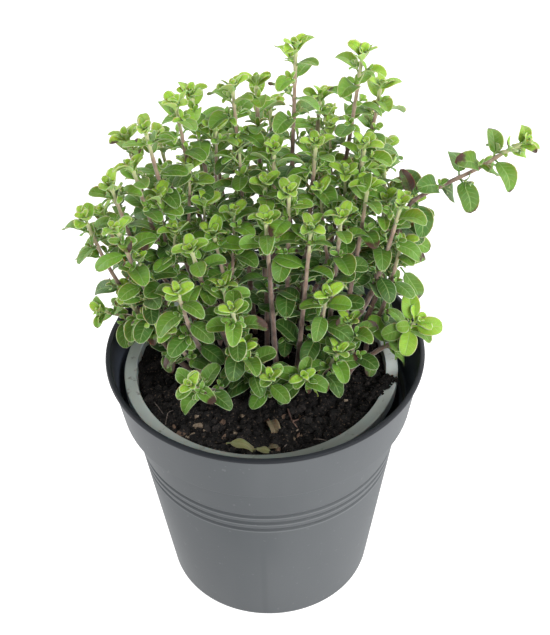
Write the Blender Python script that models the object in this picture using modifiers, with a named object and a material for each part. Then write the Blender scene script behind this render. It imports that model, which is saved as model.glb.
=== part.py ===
"""Potted marjoram: a clump of leafy square stems in a pale nursery pot, which stands in a dark cover pot.

Metres, +Z up. The origin is on the ground, at the middle of the cover pot's flat underside.
+X is the photograph's right and +Y leads away from its camera.
"""

import math
import random
from collections import namedtuple

import bmesh
import bpy
from mathutils import Matrix, Vector
from mathutils.bvhtree import BVHTree

MM = 0.001
GAP = 0.0003  # between pieces that touch on the real thing
POINT_MERGE = 1e-6
AXIS_MERGE = 0.00005

# Cover pot
COVER_HEIGHT = 0.1375
COVER_SEGMENTS = 26
COVER_WALL = 0.0014
COVER_FLOOR = 0.0020
LIP_RADIUS = 0.0750
LIP_WIDTH = 0.0024
LIP_TALL = 0.0018
LIP_ROUNDING = 0.0005
COLLAR_TOP_RADIUS = 0.0736
COLLAR_FOOT_RADIUS = 0.0695
COLLAR_FOOT = 0.1088  # height of the edge that the collar ends in
BODY_TOP_RADIUS = 0.0656
BODY_TOP = 0.1080
BODY_FOOT_RADIUS = 0.0510
BASE_ROUNDING = 0.0023
GROOVES = (0.0863, 0.0811, 0.0759)  # heights of the grooves' lower edges
GROOVE_WIDTH = 0.0032
GROOVE_DEPTH = 0.0009
GROOVE_DEEPEST = 0.4  # part of the width, up from the lower edge

# Nursery pot, a little left of the cover pot's middle
NURSERY_X = -0.0021
NURSERY_SEGMENTS = 26
NURSERY_WALL = 0.0010
NURSERY_BOTTOM = COVER_FLOOR + GAP
NURSERY_TOP = 0.1258
NURSERY_FOOT_RADIUS = 0.0465
FLANGE_INNER_RADIUS = 0.0593
FLANGE_OUTER_RADIUS = 0.0650
FLANGE_ROUNDING = 0.0006
SKIRT = 0.0060

# Soil
SOIL_TOP = 0.1232
SOIL_EDGE_TOP = 0.1222
SOIL_RINGS = 4
SOIL_BUMP = 0.0011
# Waves over the surface: radians a metre along X and along Y, phase, share of the height
SOIL_WAVES = ((190, 160, 0.7, 0.5), (190, -160, 1.1, 0.5), (90, -310, 0.0, 0.6))
BURIED = 0.0120  # how deep a stem stands in its hole
SOIL_COLLAR = 0.0020  # how far a stem stands straight above the soil

# Stems
STEM_FOOT_RADIUS = 0.0015  # to the corners of the square section
STEM_TIP_RADIUS = 0.0008
HOLE_HALF_SIDE = STEM_FOOT_RADIUS + 0.0004
STEM_STEPS = 5  # straight pieces of a stem above the soil
STEM_SPACING = 0.0036  # least distance between two stems' middle lines
SPREAD_ROUNDS = 25
SPREAD_SLACK = 0.0002
PARALLEL = 1e-15  # two stem pieces run alike where their steps' cross product squared is under this
GOLDEN_ANGLE = 2.4  # from one stem's flats to the next one's, in radians

# Leaves, in crosswise pairs that are counted down from a stem's tip, from 0
LEAF_THICKNESS = 0.00068
LEAF_CLEARANCE = 0.00036
LEAF_REACH = 0.002  # added to two leaves' lengths, for the distance at which they may meet
# Parts of a leaf's length and width: the stalk's end, the widest place and the blunt tip
LEAF_SECTIONS = ((0.28, 0.09), (0.64, 0.50), (0.96, 0.23))
LEAF_RISE = 0.30  # slope at the stem, of the arched midrib
LEAF_DROOP = 0.42
LEAF_ROOT = 0.0002  # distance of a leaf's root from its stem's middle line
LEAF_LENGTHS = (0.0095, 0.0125, 0.0140, 0.0145, 0.0150)  # by pair
LEAF_LENGTH_SPREAD = (0.88, 1.08)  # least and most, as parts of the pair's length
LEAF_WIDTHS = (0.55, 0.63)  # least and most, as parts of the leaf's own length
LEAF_LIFTS = (48, 30, 20, 14, 10)  # by pair, degrees up from square to the stem
LEAF_SWING = 8  # degrees that a leaf may turn or lift by chance
LIGHT_TILT = 0.7  # how far a blade turns from the stem's direction towards level
FIRST_PAIR = 0.0012  # below the stem's tip
PAIR_STEP = 0.0047
PAIR_STEP_GROWTH = 0.00075
MODELLED_PAIRS = (0, 1, 3, 5)
LOWEST_LEAF = 0.1275  # clear of the soil and the nursery pot
RIM_INNER, RIM_OUTER, RIM_TOP = 0.0712, 0.0762, 0.1392  # no blade comes into this ring round the lip

# Of the lower pairs, only the leaves in the outer part of the clump's dome are in these solids
FIRST_OUTER_PAIR = 3
DOME_MIDDLE = Vector((0.005, 0.015, 0.125))
DOME_RADII = Vector((0.085, 0.080, 0.145))
DOME_CORE = 0.64  # as a part of the radii

# Each stem's foot, its tip, and how far it bows out: whole millimetres, and the bow as a part of the reach
FRONT_STEMS = (
    ((-18, -13), (-32, -42, 152), 0.25),
    ((-8, -5), (-13, -32, 185), 0.20),
    ((-24, 0), (-36, -28, 192), 0.25),
    ((5, 0), (2, -8, 214), 0.00),
    ((15, -3), (21, -12, 212), 0.00),
    ((29, 10), (34, -8, 215), 0.10),
    ((40, 18), (60, 0, 215), 0.20),
    ((-14, 5), (-30, -15, 205), 0.15),
    ((-10, 13), (-21, 0, 202), 0.10),
)
LEFT_STEMS = (
    ((-31, 5), (-61, -12, 214), 0.25),
    ((-38, 13), (-76, 0, 211), 0.35),
    ((-37, 21), (-70, 12, 206), 0.35),
    ((-33, 28), (-75, 10, 152), 0.00),
    ((-26, 12), (-54, 5, 234), 0.20),
    ((-31, 15), (-64, 4, 226), 0.30),
    ((-29, 22), (-58, 25, 236), 0.25),
    ((-22, 19), (-48, 12, 248), 0.20),
)
TOP_STEMS = (
    ((-17, 26), (-35, 20, 255), 0.15),
    ((-12, 33), (-29, 32, 253), 0.15),
    ((-5, 27), (-11, 30, 257), 0.10),
    ((1, 35), (-1, 36, 256), 0.05),
    ((10, 24), (16, 25, 278), 0.05),
    ((17, 39), (27, 46, 242), 0.10),
    ((24, 27), (44, 30, 271), 0.10),
    ((31, 33), (53, 38, 252), 0.15),
    ((28, 19), (45, 15, 236), 0.15),
    ((34, 7), (46, 5, 221), 0.15),
    ((10, 8), (12, -2, 224), 0.00),
    ((1, 12), (2, 8, 222), 0.05),
    ((4, 19), (6, 17, 233), 0.05),
    ((16, 16), (24, 14, 238), 0.05),
)
BACK_STEMS = (
    ((-10, 42), (-22, 56, 224), 0.20),
    ((3, 43), (5, 63, 228), 0.20),
    ((15, 44), (32, 62, 222), 0.20),
    ((30, 39), (58, 52, 212), 0.25),
    ((39, 27), (68, 28, 196), 0.30),
    ((-21, 35), (-46, 47, 222), 0.25),
    ((-29, 33), (-68, 40, 196), 0.30),
    ((-16, 48), (-36, 74, 190), 0.35),
    ((3, 51), (8, 86, 186), 0.35),
    ((22, 47), (46, 78, 182), 0.35),
)
LOW_STEMS = (
    ((-36, -3), (-52, -8, 160), 0.15),
    ((-27, -8), (-42, -18, 162), 0.15),
    ((-2, -12), (-9, -30, 161), 0.20),
    ((15, -12), (17, -27, 142), 0.20),
    ((25, -8), (33, -18, 148), 0.20),
    ((22, 4), (28, -12, 176), 0.10),
    ((49, 13), (62, 6, 190), 0.20),
    ((-40, 5), (-62, 0, 168), 0.15),
)
BOWED_STEMS = FRONT_STEMS + LEFT_STEMS + TOP_STEMS + BACK_STEMS + LOW_STEMS
# The long sprig and the low rosette at the right each take a route of points, from foot to tip
SPRIG_ROUTE = (
    (38, 3, 124), (48, 14, 143), (58, 20, 166), (62, 20, 189), (67, 19, 204),
    (77, 17, 213), (93, 12, 226), (105, 9, 237), (111, 8, 241),
)
ROSETTE_ROUTE = ((40, -5, 124), (52, 1, 131), (62, -3, 143), (69, -5, 154))

COVER_COLOR = (0.155, 0.165, 0.175, 1)
NURSERY_COLOR = (0.42, 0.45, 0.41, 1)
SOIL_COLOR = (0.012, 0.009, 0.007, 1)
STEM_COLOR = (0.30, 0.17, 0.10, 1)
LEAF_COLOR = (0.14, 0.27, 0.05, 1)

Stem = namedtuple("Stem", "path solid tree")
Leaf = namedtuple("Leaf", "root along normal length width")


def clear_scene():
    for obj in list(bpy.data.objects):
        bpy.data.objects.remove(obj)


def new_collection(name):
    collection = bpy.data.collections.new(name)
    bpy.context.scene.collection.children.link(collection)
    return collection


def plain_material(name, color, roughness):
    material = bpy.data.materials.new(name)
    material.use_nodes = True
    shader = material.node_tree.nodes["Principled BSDF"]
    shader.inputs["Base Color"].default_value = color
    shader.inputs["Roughness"].default_value = roughness
    shader.inputs["Metallic"].default_value = 0.0
    return material


def settled_mesh(obj):
    """A mesh of the object with its modifiers applied, and points that coincide made one."""
    graph = bpy.context.evaluated_depsgraph_get()
    mesh = bpy.data.meshes.new_from_object(obj.evaluated_get(graph))
    bm = bmesh.new()
    bm.from_mesh(mesh)
    bmesh.ops.remove_doubles(bm, verts=bm.verts, dist=POINT_MERGE)
    bm.to_mesh(mesh)
    bm.free()
    return mesh


def replace_with_mesh(obj, name, collection):
    """A plain mesh object of that name, in place of the one given."""
    solid = bpy.data.objects.new(name, settled_mesh(obj))
    solid.matrix_world = obj.matrix_world
    collection.objects.link(solid)
    bpy.data.objects.remove(obj)
    return solid


# Pots


def turned(name, profile, segments, collection, material):
    """A profile of (radius, height) points, which runs down its outer side, turned about Z."""
    mesh = bpy.data.meshes.new(name)
    points = [(radius, 0, height) for radius, height in profile]
    mesh.from_pydata(points, [(i, i + 1) for i in range(len(points) - 1)], [])
    mesh.materials.append(material)
    obj = bpy.data.objects.new(name, mesh)
    collection.objects.link(obj)
    screw = obj.modifiers.new("Turn", "SCREW")
    screw.steps = segments
    screw.render_steps = segments
    screw.use_merge_vertices = True
    screw.merge_threshold = AXIS_MERGE
    return obj


def body_radius(height):
    """Outer radius of the cover pot's tapered body."""
    return BODY_FOOT_RADIUS + (BODY_TOP_RADIUS - BODY_FOOT_RADIUS) * height / BODY_TOP


def groove_points(foot):
    """One groove round the body, from its upper edge to its lower one."""
    top = foot + GROOVE_WIDTH
    deepest = foot + GROOVE_DEEPEST * GROOVE_WIDTH
    return [
        (body_radius(top), top),
        (body_radius(deepest) - GROOVE_DEPTH, deepest),
        (body_radius(foot), foot),
    ]


def cover_pot(collection):
    lip_inner = LIP_RADIUS - LIP_WIDTH
    lip_foot = COVER_HEIGHT - LIP_TALL
    inside = [
        (0, COVER_FLOOR),
        (BODY_FOOT_RADIUS - COVER_WALL, COVER_FLOOR),
        (BODY_TOP_RADIUS - COVER_WALL, BODY_TOP - COVER_WALL),
        (COLLAR_FOOT_RADIUS - COVER_WALL, COLLAR_FOOT),
        (lip_inner, COVER_HEIGHT - LIP_ROUNDING),
    ]
    rim = [
        (lip_inner + LIP_ROUNDING, COVER_HEIGHT),
        (LIP_RADIUS - LIP_ROUNDING, COVER_HEIGHT),
        (LIP_RADIUS, COVER_HEIGHT - LIP_ROUNDING),
        (LIP_RADIUS, lip_foot + LIP_ROUNDING),
        (COLLAR_TOP_RADIUS, lip_foot),
    ]
    outside = [(COLLAR_FOOT_RADIUS, COLLAR_FOOT), (BODY_TOP_RADIUS, BODY_TOP)]
    for foot in GROOVES:
        outside += groove_points(foot)
    base = [
        (body_radius(BASE_ROUNDING), BASE_ROUNDING),
        (BODY_FOOT_RADIUS - BASE_ROUNDING, 0),
        (0, 0),
    ]
    material = plain_material("Cover pot plastic", COVER_COLOR, 0.45)
    turned("cover_pot", inside + rim + outside + base, COVER_SEGMENTS, collection, material)


def nursery_inner_radius(height):
    """Inner radius of the nursery pot's wall."""
    foot = NURSERY_FOOT_RADIUS - NURSERY_WALL
    part = (height - NURSERY_BOTTOM) / (NURSERY_TOP - NURSERY_BOTTOM)
    return foot + (FLANGE_INNER_RADIUS - foot) * part


def nursery_pot(collection):
    floor = NURSERY_BOTTOM + NURSERY_WALL
    under_flange = NURSERY_TOP - NURSERY_WALL
    skirt_foot = NURSERY_TOP - SKIRT
    skirt_inner = FLANGE_OUTER_RADIUS - NURSERY_WALL
    profile = [
        (0, floor),
        (nursery_inner_radius(floor), floor),
        (FLANGE_INNER_RADIUS, NURSERY_TOP - FLANGE_ROUNDING),
        (FLANGE_INNER_RADIUS + FLANGE_ROUNDING, NURSERY_TOP),
        (FLANGE_OUTER_RADIUS - FLANGE_ROUNDING, NURSERY_TOP),
        (FLANGE_OUTER_RADIUS, NURSERY_TOP - FLANGE_ROUNDING),
        (FLANGE_OUTER_RADIUS, skirt_foot),
        (skirt_inner, skirt_foot),
        (skirt_inner, under_flange),
        (nursery_inner_radius(under_flange) + NURSERY_WALL, under_flange),
        (NURSERY_FOOT_RADIUS, NURSERY_BOTTOM),
        (0, NURSERY_BOTTOM),
    ]
    material = plain_material("Nursery pot plastic", NURSERY_COLOR, 0.5)
    obj = turned("nursery_pot", profile, NURSERY_SEGMENTS, collection, material)
    obj.location.x = NURSERY_X


# Soil


def soil_bump(x, y):
    """Height of the soil's surface above its plain dome."""
    return SOIL_BUMP * sum(
        share * math.sin(x * along_x + y * along_y + phase)
        for along_x, along_y, phase, share in SOIL_WAVES
    )


def soil(collection, cutters, feet):
    """The root ball that fills the nursery pot, domed and bumpy on top, with a plain hole for each stem."""
    bottom = NURSERY_BOTTOM + NURSERY_WALL + GAP
    edge = nursery_inner_radius(SOIL_EDGE_TOP) - GAP
    radii = [edge * i / SOIL_RINGS for i in range(SOIL_RINGS + 1)]
    top = [(r, SOIL_TOP + (SOIL_EDGE_TOP - SOIL_TOP) * (r / edge) ** 2) for r in radii]
    profile = top + [(nursery_inner_radius(bottom) - GAP, bottom), (0, bottom)]
    material = plain_material("Peat soil", SOIL_COLOR, 0.95)
    raw = turned("soil_profile", profile, NURSERY_SEGMENTS, collection, material)
    raw.location.x = NURSERY_X
    bpy.context.view_layer.update()
    obj = replace_with_mesh(raw, "soil", collection)
    for vertex in obj.data.vertices:
        if vertex.co.z > SOIL_EDGE_TOP - GAP and vertex.co.xy.length < edge - GAP:
            vertex.co.z += soil_bump(vertex.co.x, vertex.co.y)
    for number, foot in enumerate(feet):
        hole_cutter(f"stem_hole_{number + 1:02}", foot, cutters)
    cut = obj.modifiers.new("Stem holes", "BOOLEAN")
    cut.operation = "DIFFERENCE"
    cut.operand_type = "COLLECTION"
    cut.collection = cutters


def hole_cutter(name, foot, cutters):
    """A square hole's cutter, from just under the stem's end to above the soil."""
    bottom = SOIL_TOP - BURIED - GAP
    top = SOIL_TOP + 2 * SOIL_COLLAR
    side = 2 * HOLE_HALF_SIDE
    bm = bmesh.new()
    bmesh.ops.create_cube(bm, size=1.0)
    bmesh.ops.scale(bm, verts=bm.verts, vec=(side, side, top - bottom))
    bmesh.ops.translate(bm, verts=bm.verts, vec=(foot.x, foot.y, (top + bottom) / 2))
    mesh = bpy.data.meshes.new(name)
    bm.to_mesh(mesh)
    bm.free()
    obj = bpy.data.objects.new(name, mesh)
    obj.hide_render = True
    obj.display_type = "WIRE"
    cutters.objects.link(obj)


# Stems


def bowed_path(foot, tip, bow):
    """Points from a stem's foot at the soil to its tip, which reach out first and then turn up."""
    start = Vector((foot[0] * MM, foot[1] * MM, SOIL_TOP + SOIL_COLLAR))
    reach = Vector(tip) * MM - start
    points = []
    for i in range(STEM_STEPS + 1):
        part = i / STEM_STEPS
        bend = bow * part * (1 - part)
        out, up = part + bend, part - bend
        points.append(start + Vector((reach.x * out, reach.y * out, reach.z * up)))
    return points


def routed_path(route):
    points = [Vector(point) * MM for point in route]
    points[0].z = SOIL_TOP + SOIL_COLLAR
    return points


def clamped(value):
    return max(0.0, min(1.0, value))


def nearest_parts(first_start, first_step, second_start, second_step):
    """How far along two straight pieces of stem, from 0 to 1, they come nearest each other."""
    between = first_start - second_start
    one, two = first_step.length_squared, second_step.length_squared
    mixed = first_step.dot(second_step)
    on_first, on_second = first_step.dot(between), second_step.dot(between)
    spread = one * two - mixed * mixed
    first = clamped((mixed * on_second - on_first * two) / spread) if spread > PARALLEL else 0.0
    second = clamped((mixed * first + on_second) / two)
    return clamped((mixed * second - on_first) / one), second


def part_pair(first, second):
    """Pushes two stems level apart wherever they are nearer than they may be."""
    moved = False
    for a in range(len(first) - 1):
        for b in range(len(second) - 1):
            first_step, second_step = first[a + 1] - first[a], second[b + 1] - second[b]
            reach = first_step.length + second_step.length + STEM_SPACING
            if (first[a] - second[b]).length > reach:
                continue
            on_first, on_second = nearest_parts(first[a], first_step, second[b], second_step)
            apart = first[a] + first_step * on_first - second[b] - second_step * on_second
            if apart.length >= STEM_SPACING:
                continue
            push = Vector((apart.x, apart.y, 0)).normalized()
            push *= 0.5 * (STEM_SPACING - apart.length) + SPREAD_SLACK
            for path, index, part, sign in ((first, a, on_first, 1), (second, b, on_second, -1)):
                path[index] += push * sign * min(1.0, 2 * (1 - part))
                path[index + 1] += push * sign * min(1.0, 2 * part)
            moved = True
    return moved


def stem_paths():
    """Every stem's points from the soil up, with those that come too near each other moved apart."""
    paths = [bowed_path(*stem) for stem in BOWED_STEMS]
    paths += [routed_path(SPRIG_ROUTE), routed_path(ROSETTE_ROUTE)]
    for _ in range(SPREAD_ROUNDS):
        moved = [part_pair(a, b) for i, a in enumerate(paths) for b in paths[i + 1 :]]
        if not any(moved):
            break
    return paths


def stem_on(number, path, collection):
    """A square tube that narrows to its tip, with a straight foot to stand in the soil."""
    name = f"leafy_stem_{number + 1:02}"
    points = [Vector((path[0].x, path[0].y, SOIL_TOP - BURIED))] + path
    curve = bpy.data.curves.new(name, "CURVE")
    curve.dimensions = "3D"
    curve.bevel_depth = 1.0
    curve.bevel_resolution = 0
    curve.use_fill_caps = True
    spline = curve.splines.new("POLY")
    spline.points.add(len(points) - 1)
    for i, (knot, point) in enumerate(zip(spline.points, points)):
        part = max(0, i - 1) / (len(points) - 2)
        knot.co = (*point, 1)
        knot.radius = STEM_FOOT_RADIUS + (STEM_TIP_RADIUS - STEM_FOOT_RADIUS) * part
        knot.tilt = number * GOLDEN_ANGLE
    raw = bpy.data.objects.new(name + "_curve", curve)
    collection.objects.link(raw)
    bpy.context.view_layer.update()
    solid = replace_with_mesh(raw, name, collection)
    corners = [vertex.co for vertex in solid.data.vertices]
    faces = [polygon.vertices for polygon in solid.data.polygons]
    return Stem(path, solid, BVHTree.FromPolygons(corners, faces))


# Leaves


def below_tip(path, distance):
    """The point that far down a stem from its tip, and the direction of growth there."""
    for end, start in zip(reversed(path), reversed(path[:-1])):
        step = end - start
        if distance <= step.length:
            return end - step.normalized() * distance, step.normalized()
        distance -= step.length
    return None, None


def pair_place(pair):
    """Distance of a pair below its stem's tip. The steps between pairs grow downwards."""
    return FIRST_PAIR + PAIR_STEP * pair + PAIR_STEP_GROWTH * pair * pair


def for_pair(values, pair):
    return values[min(pair, len(values) - 1)]


def leaf_surface(leaf, grow):
    """A narrow stalk and an arched obovate blade, as a strip of faces across the leaf."""
    side = leaf.along.cross(leaf.normal)
    length = leaf.length + 2 * grow

    def place(part, half_width):
        lift = length * (LEAF_RISE * part - LEAF_DROOP * part * part)
        return leaf.root + leaf.along * (length * part - grow) + side * half_width + leaf.normal * lift

    bm = bmesh.new()
    last = (bm.verts.new(place(0, 0)),)
    for part, half in LEAF_SECTIONS:
        half_width = half * leaf.width + grow
        left, right = bm.verts.new(place(part, half_width)), bm.verts.new(place(part, -half_width))
        bm.faces.new((last[0], left, right))
        if len(last) == 2:
            bm.faces.new((last[0], right, last[1]))
        last = (left, right)
    return bm


def leaf_plate(leaf, clearance=0.0):
    """The blade with its thickness, split alike on both faces, and with a clearance all round if given."""
    thickness = LEAF_THICKNESS + 2 * clearance
    bm = leaf_surface(leaf, clearance)
    bmesh.ops.translate(bm, verts=bm.verts, vec=leaf.normal * -thickness / 2)
    bmesh.ops.recalc_face_normals(bm, faces=bm.faces)
    if bm.faces[:][0].normal.dot(leaf.normal) < 0:
        bmesh.ops.reverse_faces(bm, faces=bm.faces)
    bmesh.ops.solidify(bm, geom=bm.faces[:], thickness=-thickness)
    bmesh.ops.recalc_face_normals(bm, faces=bm.faces)
    return bm


def leaf_on(stem, pair, side, turn, lift, shrink, draw):
    """One leaf of a pair. It grows square from a flat of the stem, and the next pair stands crosswise."""
    root, growth = below_tip(stem.path, pair_place(pair))
    if root is None or root.z < LOWEST_LEAF:
        return None
    across = Matrix.Rotation(math.radians(90 * pair + 180 * side), 3, growth) @ growth.orthogonal()
    flat = stem.tree.ray_cast(root, across)[1]
    outward = (flat - growth * flat.dot(growth)).normalized()
    turned_by = math.radians(turn + draw.uniform(-LEAF_SWING, LEAF_SWING))
    outward = Matrix.Rotation(turned_by, 3, growth) @ outward
    slope = math.radians(for_pair(LEAF_LIFTS, pair) + lift + draw.uniform(-LEAF_SWING, LEAF_SWING))
    along = outward * math.cos(slope) + growth * math.sin(slope)
    normal = growth * math.cos(slope) - outward * math.sin(slope) + Vector((0, 0, LIGHT_TILT))
    normal = (normal - along * normal.dot(along)).normalized()
    length = for_pair(LEAF_LENGTHS, pair) * shrink * draw.uniform(*LEAF_LENGTH_SPREAD)
    return Leaf(root + outward * LEAF_ROOT, along, normal, length, length * draw.uniform(*LEAF_WIDTHS))


# What a leaf may try until it is clear of its neighbours: degrees of turn and of lift, and a shorter length
TRIALS = [
    (turn, lift, shrink)
    for shrink in (1.0, 0.85, 0.72)
    for lift in (0, 14, -14, 26)
    for turn in (0, 16, -16, 32, -32)
]


def clear_of_pots(bm):
    """Whether a blade stays above the soil and out of the cover pot's rim."""
    for vertex in bm.verts:
        if vertex.co.z < LOWEST_LEAF:
            return False
        if RIM_INNER < vertex.co.xy.length < RIM_OUTER and vertex.co.z < RIM_TOP:
            return False
    return True


def may_meet(leaf, other):
    return (leaf.root - other.root).length < leaf.length + other.length + LEAF_REACH


def fitting_leaf(stems, number, pair, side, placed):
    """The leaf at that place, in the first trial where it meets no other stem, nor a leaf of another stem."""
    for turn, lift, shrink in TRIALS:
        draw = random.Random(f"{number}-{pair}-{side}")
        leaf = leaf_on(stems[number], pair, side, turn, lift, shrink, draw)
        if leaf is None:
            return None
        bm = leaf_plate(leaf, LEAF_CLEARANCE)
        tree = BVHTree.FromBMesh(bm)
        fits = clear_of_pots(bm)
        bm.free()
        if not fits:
            continue
        if any(tree.overlap(stem.tree) for i, stem in enumerate(stems) if i != number):
            continue
        if any(i != number and may_meet(leaf, old) and tree.overlap(other) for i, old, other in placed):
            continue
        return leaf
    return None


def in_core(leaf):
    """Whether the blade lies deep inside the clump."""
    middle = leaf.root + leaf.along * leaf.length * LEAF_SECTIONS[1][0] - DOME_MIDDLE
    parts = [middle[axis] / DOME_RADII[axis] for axis in range(3)]
    return Vector(parts).length < DOME_CORE


def plan_leaves(stems):
    """Each stem's leaves, tip pairs first, so that the ones that show most find their place first."""
    planned = [[] for _ in stems]
    placed = []
    for pair in MODELLED_PAIRS:
        for number in range(len(stems)):
            for side in (0, 1):
                leaf = fitting_leaf(stems, number, pair, side, placed)
                if leaf is None or pair >= FIRST_OUTER_PAIR and in_core(leaf):
                    continue
                bm = leaf_plate(leaf)
                placed.append((number, leaf, BVHTree.FromBMesh(bm)))
                bm.free()
                planned[number].append(leaf)
    return planned


def add_leaves(stem, leaves, materials):
    """Fuses a stem and its leaves into one solid."""
    name = stem.solid.name
    stem.solid.data.materials.append(materials[0])
    blades = new_collection(name + "_leaves")
    for i, leaf in enumerate(leaves):
        mesh = bpy.data.meshes.new(f"{name}_leaf_{i + 1}")
        bm = leaf_plate(leaf)
        bm.to_mesh(mesh)
        bm.free()
        mesh.materials.append(materials[1])
        blades.objects.link(bpy.data.objects.new(mesh.name, mesh))
    union = stem.solid.modifiers.new("Leaves", "BOOLEAN")
    union.operation = "UNION"
    union.operand_type = "COLLECTION"
    union.collection = blades
    bpy.context.view_layer.update()
    fused = settled_mesh(stem.solid)
    stem.solid.modifiers.clear()
    stem.solid.data = fused
    for blade in list(blades.objects):
        bpy.data.objects.remove(blade)
    bpy.data.collections.remove(blades)


def main():
    clear_scene()
    parts = new_collection("Potted marjoram")
    cutters = new_collection("Cutters")
    cutters.hide_render = True
    paths = stem_paths()
    cover_pot(parts)
    nursery_pot(parts)
    soil(parts, cutters, [path[0] for path in paths])
    stems = [stem_on(number, path, parts) for number, path in enumerate(paths)]
    materials = (
        plain_material("Marjoram stem", STEM_COLOR, 0.7),
        plain_material("Marjoram leaf", LEAF_COLOR, 0.6),
    )
    for stem, leaves in zip(stems, plan_leaves(stems)):
        add_leaves(stem, leaves, materials)


main()
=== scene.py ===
"""Looks of the potted marjoram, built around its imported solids.

Metres, +Z up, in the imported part's frame: the origin is on the ground under the cover pot's middle,
+X is the photograph's right and +Y leads away from its camera.
"""

import itertools
import math
import random
from collections import namedtuple

import bmesh
import bpy
import numpy as np
from mathutils import Matrix, Quaternion, Vector, noise
from mathutils.bvhtree import BVHTree


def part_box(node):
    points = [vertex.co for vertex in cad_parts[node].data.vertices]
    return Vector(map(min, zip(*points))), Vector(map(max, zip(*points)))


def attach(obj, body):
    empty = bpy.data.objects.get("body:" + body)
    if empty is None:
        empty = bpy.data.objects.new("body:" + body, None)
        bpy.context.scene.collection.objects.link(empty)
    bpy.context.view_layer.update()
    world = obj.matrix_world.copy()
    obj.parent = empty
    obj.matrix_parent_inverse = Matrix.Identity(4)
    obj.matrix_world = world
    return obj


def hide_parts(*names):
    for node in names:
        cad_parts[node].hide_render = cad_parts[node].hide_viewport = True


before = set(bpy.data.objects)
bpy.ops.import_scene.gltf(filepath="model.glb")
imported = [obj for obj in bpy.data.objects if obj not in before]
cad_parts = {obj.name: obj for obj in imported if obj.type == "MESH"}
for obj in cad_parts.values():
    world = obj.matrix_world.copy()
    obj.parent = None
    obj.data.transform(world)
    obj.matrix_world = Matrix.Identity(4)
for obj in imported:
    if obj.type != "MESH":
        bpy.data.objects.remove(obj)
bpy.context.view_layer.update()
SOIL_LOW, SOIL_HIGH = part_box("soil")
SOIL_X = (SOIL_LOW.x + SOIL_HIGH.x) / 2
SOIL_EDGE = (SOIL_HIGH.x - SOIL_LOW.x) / 2

MM = 0.001

# Camera
IMAGE_HEIGHT = 635  # pixels, and the picture's long side
FOCAL_PIXELS = 1300
CAMERA_SENSOR = 36
CAMERA_ELEVATION = math.radians(40.10)
CAMERA_ROLL = math.radians(-1.22)
CAMERA_DISTANCE = 0.6009
CAMERA_TARGET = Vector((0.00497, 0, 0.1548))
CAMERA_CLIP = (0.01, 20)

# Light
WALL_COLOR = (1.0, 1.0, 1.0)  # the studio is white near the horizon, and dimmer overhead
CEILING_COLOR = (0.34, 0.34, 0.34)
WALL_TOP, CEILING_START = 0.22, 0.65  # heights on the sky, from 0 at the horizon to 1 overhead
FLOOR_SIZE = 200.0
FLOOR_COLOR = (0.30, 0.30, 0.30)
FLOOR_GLOW = 1.0  # the floor is a lit white table, so nothing casts a shadow on it
# Name, place, size and power
SOFT_BOXES = (
    ("Front_softbox", (0.55, -0.85, 0.75), 0.50, 10.9),
    ("Left_softbox", (-1.05, 0.45, 0.75), 0.60, 12.0),
    ("Right_softbox", (1.10, 0.25, 0.65), 0.60, 7.0),
    ("Back_softbox", (0.50, 0.80, 1.00), 0.60, 7.5),
)
LIGHT_TARGET = Vector((0, 0.01, 0.17))

# Pots. Heights and outer sizes come from the frame.
POT_SEGMENTS = 180
POT_AXIS = 1e-6  # a radius under this is on the axis
LIP_ZONE = 0.5  # between the inside's 0 and the outside's 1
PROFILE_ROUNDING_STEPS = 4
COVER_WALL = 0.0014
COVER_FLOOR = 0.0020
COVER_FLOOR_ROUNDING = 0.0015
COVER_BEND_ROUNDING = 0.0006
WALL_ROUNDING = 0.0003
LIP_WIDTH = 0.0024
LIP_TALL = 0.0018
LIP_ROUNDING = 0.0008
COLLAR_TOP_RADIUS = 0.0736
COLLAR_FOOT_RADIUS = 0.0695
COLLAR_FOOT = 0.1088
BODY_TOP_RADIUS = 0.0656
BODY_TOP = 0.1080
BODY_TOP_ROUNDING = 0.0004
BODY_FOOT_RADIUS = 0.0510
BASE_ROUNDING = 0.0023
GROOVES = (0.0863, 0.0811, 0.0759)
GROOVE_WIDTH = 0.0032
GROOVE_DEPTH = 0.0011
GROOVE_DEEPEST = 0.4
GROOVE_ROUNDING = 0.0007
EDGE_DROP = 0.0002  # the painted highlight line on an edge lies this far below it
STREAK_X = -0.0030  # a faint dark run of painted shade down the front of the body
NURSERY_WALL = 0.0010
NURSERY_FOOT_RADIUS = 0.0465
NURSERY_FOOT_ROUNDING = 0.0008
FLANGE_INNER_RADIUS = 0.0593
FLANGE_ROUNDING = 0.0004
SKIRT = 0.0060
SKIRT_ROUNDING = 0.0002
FLANGE_SHADE_SPAN = (-0.015, -0.062)  # its front is darkened by painted shade, from none to all

# Looks of the pots, the soil and the stems
COVER_SHADES = ((0.064, 0.071, 0.077), (0.096, 0.103, 0.109))
COVER_ROUGHNESS = (0.48, 0.60)
COVER_SPECK = (0.20, 0.21, 0.22)
COVER_INSIDE_WITH_PAINTED_FILL = (0.120, 0.138, 0.185)
COVER_LIP = (0.012, 0.014, 0.018)
GROOVE_PAINTED_SHADE = (0.040, 0.044, 0.048)
EDGE_HIGHLIGHT_COLOR = (0.19, 0.195, 0.20)
STREAK_PAINTED_SHADE = (0.030, 0.034, 0.038)
STREAK_HEIGHTS = (0.070, 0.045)  # where it starts and where it is full
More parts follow.
